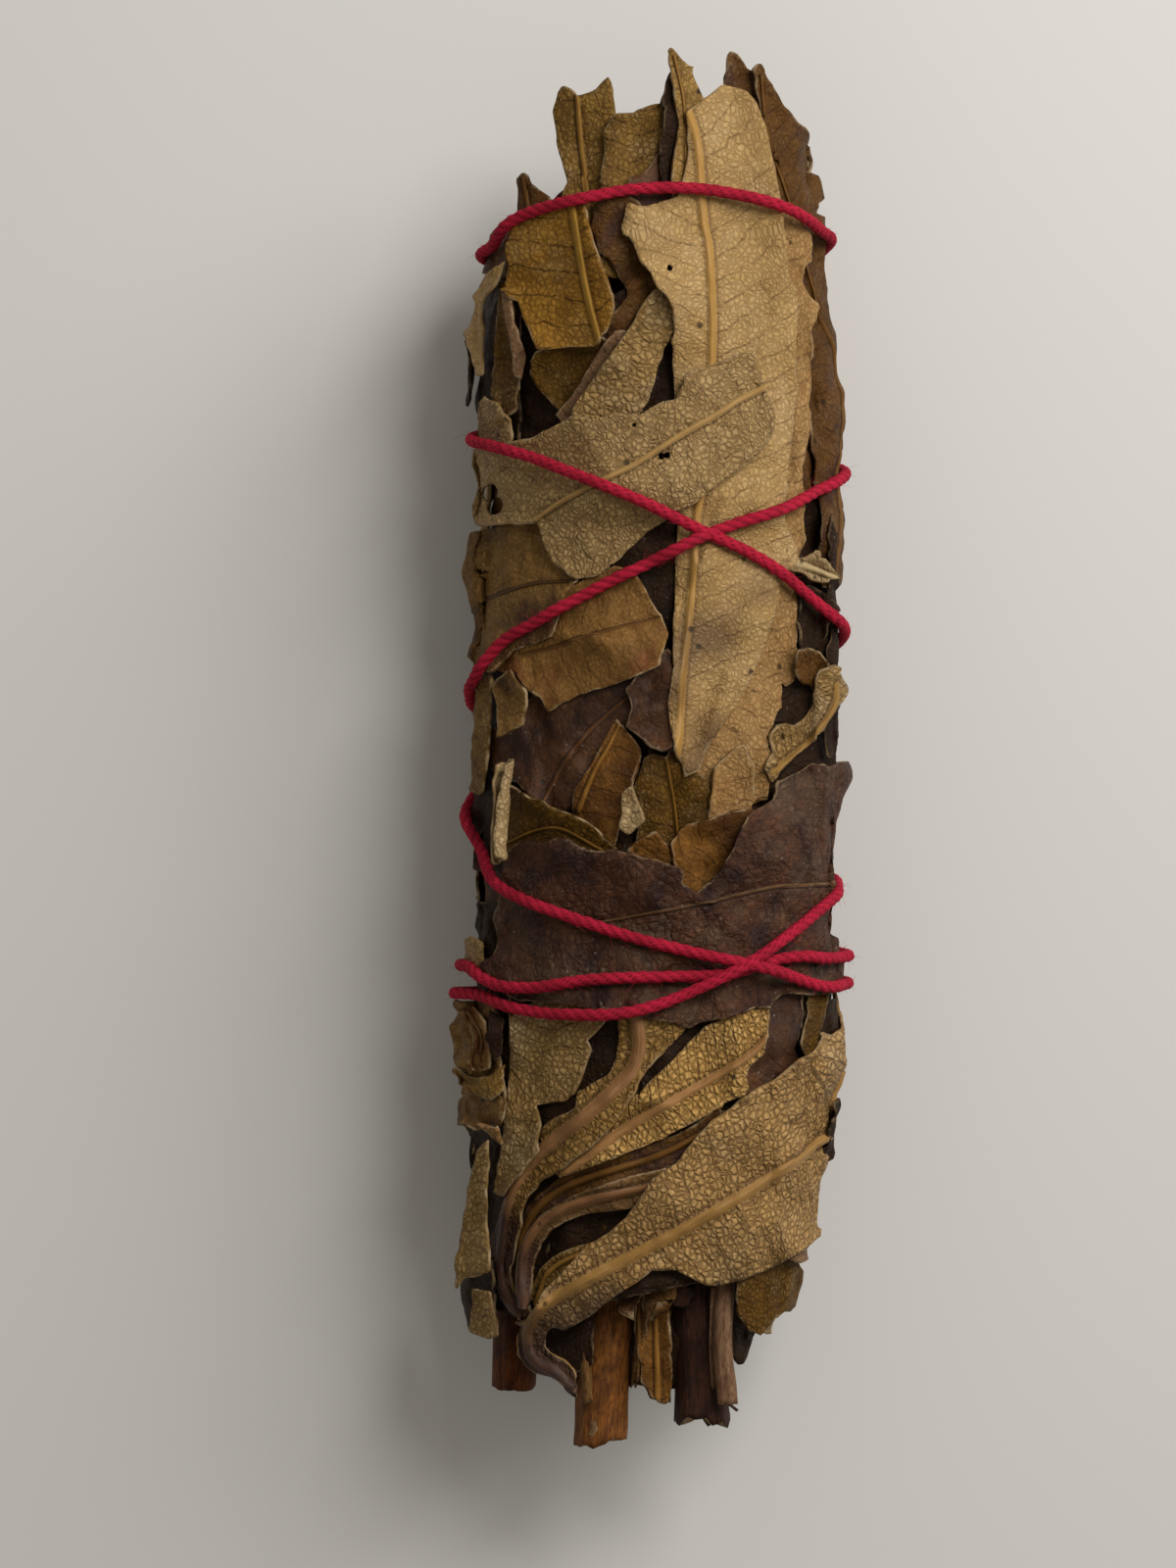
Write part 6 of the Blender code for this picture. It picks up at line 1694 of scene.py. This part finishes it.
          14.4, -31.6, 15.1, -30.4, 15.6, -28.6, 15.8, -27), ribbed=0.56, taper=0.72, rise=0.6, torn=0.08,
          curl=0.35, quilt=0.16, slant=0.15, spacing=1.5, dim=(-39, -52)),
    Blade("wrap_leaf", "wrap", (-11.8, -8.6, -11, -8, -9.8, -7.6, -9, -7.9, -7.6, -7.4, -6.8, -7.5,
          -5.2, -8.3, -2.4, -8.5, 2.2, -9.8, 2.6, -10.3, 2.5, -11, 3.6, -11.9, 5.7, -10.1, 5.9, -9.2,
          6.4, -8.6, 7.9, -5.5, 8.6, -4.9, 10, -4.3, 10.3, -2.9, 13.2, -1.3, 14.6, -1.6, 15.4, -1.2, 16, -1.2,
          16.7, -2, 17.1, -3, 17, -4.6, 18, -12, 17.6, -15, 16.4, -19.4, 15, -20.2, 12.6, -20.2, 11.6, -20,
          10.6, -20.2, 9.5, -21.2, 8.4, -21, 6, -22.1, 4.2, -22.2, 3, -22.8, 1.4, -22.2, 0, -22.1, -3, -21.3,
          -9.2, -20.8, -11.6, -20.4, -12.8, -18.8, -13.8, -18.3, -13.9, -17.6, -13, -17.2, -12.6, -16.4,
          -12.5, -15, -12.8, -14, -12.2, -11.6, -12.2, -10.4), (16, -11.2, 11, -11.3, 8, -11.8, 5, -12.5,
          -6, -14.6), ribbed=0.17, rise=0.14, curl=0.3, crumple=0.5, spacing=4),
    Blade("stem_leaf_base", "umber", (-1.8, -42, 0, -42, 0, -45, -0.7, -50.6, -1.1, -51.8, -1.5, -51,
          -1.2, -48.6), (-1, -51.6, -0.8, -43), ribbed=0.2, curl=0.5, level=-1.9),
    Blade("stem_gold_strip", "amber", (-0.7, -43, 1, -43, 1.5, -46, 1.7, -49, 1.7, -52, 1.3, -53.6,
          0.2, -52.8, -0.8, -51.6, -1, -49.6, -0.6, -47), (0.6, -53, 0.4, -44), ribbed=0.3, torn=0.3,
          curl=0.6, level=-1.9),
    Blade("stem_dark_scrap", "dark", (6.4, -45, 8.2, -45, 8.8, -48, 7.6, -50.6, 7.1, -50.6, 6.6, -49),
          (7.4, -50, 7.4, -45), crumple=0.5, level=-2.2),
    Blade("stem_tan_scrap", "pale", (9.4, -45.6, 9.3, -47.6, 9.5, -48.2, 10.2, -48.4, 10.8, -48.1, 11, -45.6),
          (10, -48, 10.2, -46), level=-1.2),
)


# --- Sizes, operators and panel ---


class SMUDGE_PG_leaves(bpy.types.PropertyGroup):
    """Sizes of the leaves."""

    step: bpy.props.FloatProperty(
        name="Step", description="Distance between the points of a leaf", default=0.34 * MM, min=0.1 * MM,
        unit="LENGTH", subtype="DISTANCE", precision=5)
    thickness: bpy.props.FloatProperty(
        name="Thickness", description="Thickness of a dried blade", default=0.24 * MM, min=0.05 * MM,
        unit="LENGTH", subtype="DISTANCE", precision=5)
    gap: bpy.props.FloatProperty(
        name="Gap", description="Least air between one leaf and the next", default=0.08 * MM, min=0.0,
        unit="LENGTH", subtype="DISTANCE", precision=5)


class SMUDGE_PG_string(bpy.types.PropertyGroup):
    """Sizes of the string."""

    diameter: bpy.props.FloatProperty(
        name="Diameter", description="Diameter of the string", default=0.96 * MM, min=0.3 * MM,
        unit="LENGTH", subtype="DISTANCE", precision=5)
    twist: bpy.props.FloatProperty(
        name="Twist", description="Length in which a ply goes once round", default=3.1 * MM, min=1.0 * MM,
        unit="LENGTH", subtype="DISTANCE", precision=5)
    fibres: bpy.props.IntProperty(
        name="Fibres", description="Number of loose fibres", default=2200, min=0)


class SMUDGE_PG_stage(bpy.types.PropertyGroup):
    """Sizes of the stage."""

    floor: bpy.props.FloatProperty(
        name="Floor", description="Side of the floor", default=1.6, min=0.3, unit="LENGTH",
        subtype="DISTANCE")
    height: bpy.props.FloatProperty(
        name="Camera Height", description="Height of the camera over the floor", default=0.62, min=0.2,
        unit="LENGTH", subtype="DISTANCE")
    floor_colour: bpy.props.FloatVectorProperty(
        name="Floor Colour", description="Colour of the floor", default=(0.64, 0.625, 0.60), size=3,
        subtype="COLOR", min=0.0, max=1.0)


class SMUDGE_OT_stems(bpy.types.Operator):
    """Dress the cut stems and the stalks beside them"""

    bl_idname = "smudge.stems"
    bl_label = "Dress Stems"

    def execute(self, context):
        for seed, (name, radius, route) in enumerate(STEMS):
            dress_bar(Bar(name, width=radius, depth=radius, route=route, **STEM_LOOKS[name]), seed)
        for seed, strip in enumerate(STRIPS):
            dress_bar(strip, 20 + seed, sides=14, step=0.3)
        return {"FINISHED"}


HEAP = Heap()


def leaf_sizes(context):
    """Step, thickness and gap of the leaves, in millimetres."""
    sizes = context.scene.smudge_leaves
    return sizes.step / MM, sizes.thickness / MM, sizes.gap / MM


class SMUDGE_OT_inner_leaves(bpy.types.Operator):
    """Crumple the leaves inside the bundle"""

    bl_idname = "smudge.inner_leaves"
    bl_label = "Crumple Inner Leaves"

    def execute(self, context):
        step = 1.7 * leaf_sizes(context)[0]
        for seed, (name, turn, start, end) in enumerate(INNER_LEAVES):
            stations = tuple((0, y, INNER_REACH * share, INNER_REACH * share)
                             for y, share in ((start, 0.8), (start + 8, 1), (end - 10, 1), (end, 0.7)))
            look = Look("umber", rib=0, torn=0.5, ends=2.5, curl=0.0, crumple=0.5, quilt=0.2)
            dress_leaf(Leaf(name, stations, turn=turn), look, HEAP, 200 + seed, step, INNER_THICKNESS, 0)
        for end, reach in OPEN_ENDS:
            sheets = [lay_leaf(leaf, look, HEAP, 240 + seed, step, SCRAP_THICKNESS, 0, level)
                      for seed, (leaf, look, level) in enumerate(inner_scraps(end, reach))]
            add_sheets(f"inner_scraps_{end}", sheets, SCRAP_THICKNESS)
        return {"FINISHED"}


class SMUDGE_OT_side_leaves(bpy.types.Operator):
    """Lay the leaves of the sides and the underside"""

    bl_idname = "smudge.side_leaves"
    bl_label = "Lay Side Leaves"

    def execute(self, context):
        step, thickness, gap = leaf_sizes(context)
        for seed, (skin, leaf) in enumerate(SIDE_LEAVES):
            look = Look(skin, rib=0.3, torn=0.3, ends=1.2, crumple=0.4, curl=0.5)
            dress_leaf(leaf, look, HEAP, 100 + seed, 1.4 * step, thickness, gap)
        for side, word in ((-1, "left"), (1, "right")):
            sheets = [lay_leaf(leaf, look, HEAP, 130 + 20 * side + seed, 1.3 * step, thickness, gap)
                      for seed, (leaf, look) in enumerate(side_scraps(side))]
            add_sheets(f"{word}_side_scraps", sheets, thickness)
        return {"FINISHED"}


class SMUDGE_OT_leaves(bpy.types.Operator):
    """Lay the leaves of the top, from the inside out"""

    bl_idname = "smudge.leaves"
    bl_label = "Lay Leaves"

    def execute(self, context):
        step, thickness, gap = leaf_sizes(context)
        for seed, blade in enumerate(BLADES):
            dress_blade(blade, HEAP, seed, step, thickness, gap)
        return {"FINISHED"}


class SMUDGE_OT_rolled_leaves(bpy.types.Operator):
    """Roll the leaf at the left edge"""

    bl_idname = "smudge.rolled_leaves"
    bl_label = "Roll Leaves"

    def execute(self, context):
        step, thickness, gap = leaf_sizes(context)
        for seed, (skin, leaf) in enumerate(ROLLED_LEAVES):
            dress_leaf(leaf, Look(skin, rib=0, torn=0.25), HEAP, 160 + seed, step, thickness, gap)
        return {"FINISHED"}


class SMUDGE_OT_rest_leaves(bpy.types.Operator):
    """Press the leaves that the bundle rests on flat"""

    bl_idname = "smudge.rest_leaves"
    bl_label = "Press Rest Leaves"

    def execute(self, context):
        step, thickness, gap = leaf_sizes(context)
        for seed, (skin, leaf) in enumerate(REST_LEAVES):
            look = Look(skin, rib=0, torn=0.3, curl=0.1, crumple=0.15)
            dress_leaf(leaf, look, HEAP, 170 + seed, 1.6 * step, thickness, gap)
        return {"FINISHED"}


class SMUDGE_OT_string(bpy.types.Operator):
    """Wind the twisted string over the leaves"""

    bl_idname = "smudge.string"
    bl_label = "Wind String"

    def execute(self, context):
        dress_string(context.scene.smudge_string, HEAP)
        return {"FINISHED"}


# Each lamp's name, place, size and power.
LAMPS = (("key light", (0.13, 0.16, 0.30), 0.15, 0.62), ("window light", (0.42, 0.30, 0.30), 0.36, 1.9))
LAMP_COLOUR = (1.0, 0.985, 0.965)
ROOM_COLOUR, ROOM_LIGHT = (1.0, 0.955, 0.87, 1.0), 0.315
VIEW_MIDDLE = (-5.12 * MM, -3.04 * MM)
VIEW_LENGTH = 0.128  # what the view spans along Y, at the next height
VIEW_LEVEL = 0.018


def add_lamp(name, place_at, size, power):
    """Adds a soft round lamp that is turned towards the origin."""
    lamp = bpy.data.lights.new(name, "AREA")
    lamp.shape = "DISK"
    lamp.size = size
    lamp.energy = power
    lamp.color = LAMP_COLOUR
    thing = bpy.data.objects.new(name, lamp)
    thing.location = place_at
    thing.rotation_euler = (-Vector(place_at)).to_track_quat("-Z", "Y").to_euler()
    bpy.context.scene.collection.objects.link(thing)


class SMUDGE_OT_stage(bpy.types.Operator):
    """Set the floor, the lights and the camera"""

    bl_idname = "smudge.stage"
    bl_label = "Set Stage"

    def execute(self, context):
        s = context.scene.smudge_stage
        shape = bmesh.new()
        bmesh.ops.create_grid(shape, x_segments=8, y_segments=8, size=s.floor / 2)
        mesh = bpy.data.meshes.new("floor")
        shape.to_mesh(mesh)
        shape.free()
        floor = bpy.data.objects.new("floor", mesh)
        floor.location.z = CAD_BOX[0][2] - 0.05 * MM
        context.scene.collection.objects.link(floor)
        material = bpy.data.materials.new("plain floor")
        material.use_nodes = True
        shader = material.node_tree.nodes["Principled BSDF"]
        shader.inputs["Base Color"].default_value = (*s.floor_colour, 1.0)
        shader.inputs["Roughness"].default_value = 0.9
        mesh.materials.append(material)
        for lamp in LAMPS:
            add_lamp(*lamp)
        world = bpy.data.worlds.new("soft room")
        world.use_nodes = True
        world.node_tree.nodes["Background"].inputs[0].default_value = ROOM_COLOUR
        world.node_tree.nodes["Background"].inputs[1].default_value = ROOM_LIGHT
        context.scene.world = world
        context.scene.view_settings.view_transform = "Standard"
        camera = bpy.data.cameras.new("camera")
        camera.sensor_fit = "VERTICAL"
        camera.sensor_height = 24
        camera.lens = camera.sensor_height * (s.height - VIEW_LEVEL) / VIEW_LENGTH
        camera.clip_start = 0.01
        camera.clip_end = 10
        thing = bpy.data.objects.new("camera", camera)
        thing.location = (*VIEW_MIDDLE, s.height)
        context.scene.collection.objects.link(thing)
        context.scene.camera = thing
        return {"FINISHED"}


class SMUDGE_PT_panel(bpy.types.Panel):
    """Buttons and sizes of the smudge stick"""

    bl_idname = "SMUDGE_PT_panel"
    bl_label = "Smudge Stick"
    bl_space_type = "VIEW_3D"
    bl_region_type = "UI"
    bl_category = "Smudge Stick"

    def draw(self, context):
        layout = self.layout
        for group, fields, operator in (
            (context.scene.smudge_leaves, ("step", "thickness", "gap"), "smudge.leaves"),
            (context.scene.smudge_string, ("diameter", "twist", "fibres"), "smudge.string"),
            (context.scene.smudge_stage, ("floor", "height", "floor_colour"), "smudge.stage"),
        ):
            box = layout.box()
            for field in fields:
                box.prop(group, field)
            box.operator(operator)
        for operator in ("stems", "inner_leaves", "side_leaves", "rolled_leaves", "rest_leaves"):
            layout.operator("smudge." + operator)


CLASSES = (
    SMUDGE_PG_leaves, SMUDGE_PG_string, SMUDGE_PG_stage, SMUDGE_OT_stage, SMUDGE_OT_stems,
    SMUDGE_OT_inner_leaves, SMUDGE_OT_side_leaves, SMUDGE_OT_leaves, SMUDGE_OT_rolled_leaves,
    SMUDGE_OT_rest_leaves, SMUDGE_OT_string, SMUDGE_PT_panel,
)


def register():
    for kind in CLASSES:
        bpy.utils.register_class(kind)
    bpy.types.Scene.smudge_leaves = bpy.props.PointerProperty(type=SMUDGE_PG_leaves)
    bpy.types.Scene.smudge_string = bpy.props.PointerProperty(type=SMUDGE_PG_string)
    bpy.types.Scene.smudge_stage = bpy.props.PointerProperty(type=SMUDGE_PG_stage)


def unregister():
    del bpy.types.Scene.smudge_leaves, bpy.types.Scene.smudge_string, bpy.types.Scene.smudge_stage
    for kind in reversed(CLASSES):
        bpy.utils.unregister_class(kind)


def main():
    register()
    bpy.ops.smudge.stage()
    bpy.ops.smudge.stems()
    bpy.ops.smudge.inner_leaves()
    bpy.ops.smudge.side_leaves()
    bpy.ops.smudge.leaves()
    bpy.ops.smudge.rolled_leaves()
    bpy.ops.smudge.rest_leaves()
    bpy.ops.smudge.string()


if __name__ == "__main__":
    main()
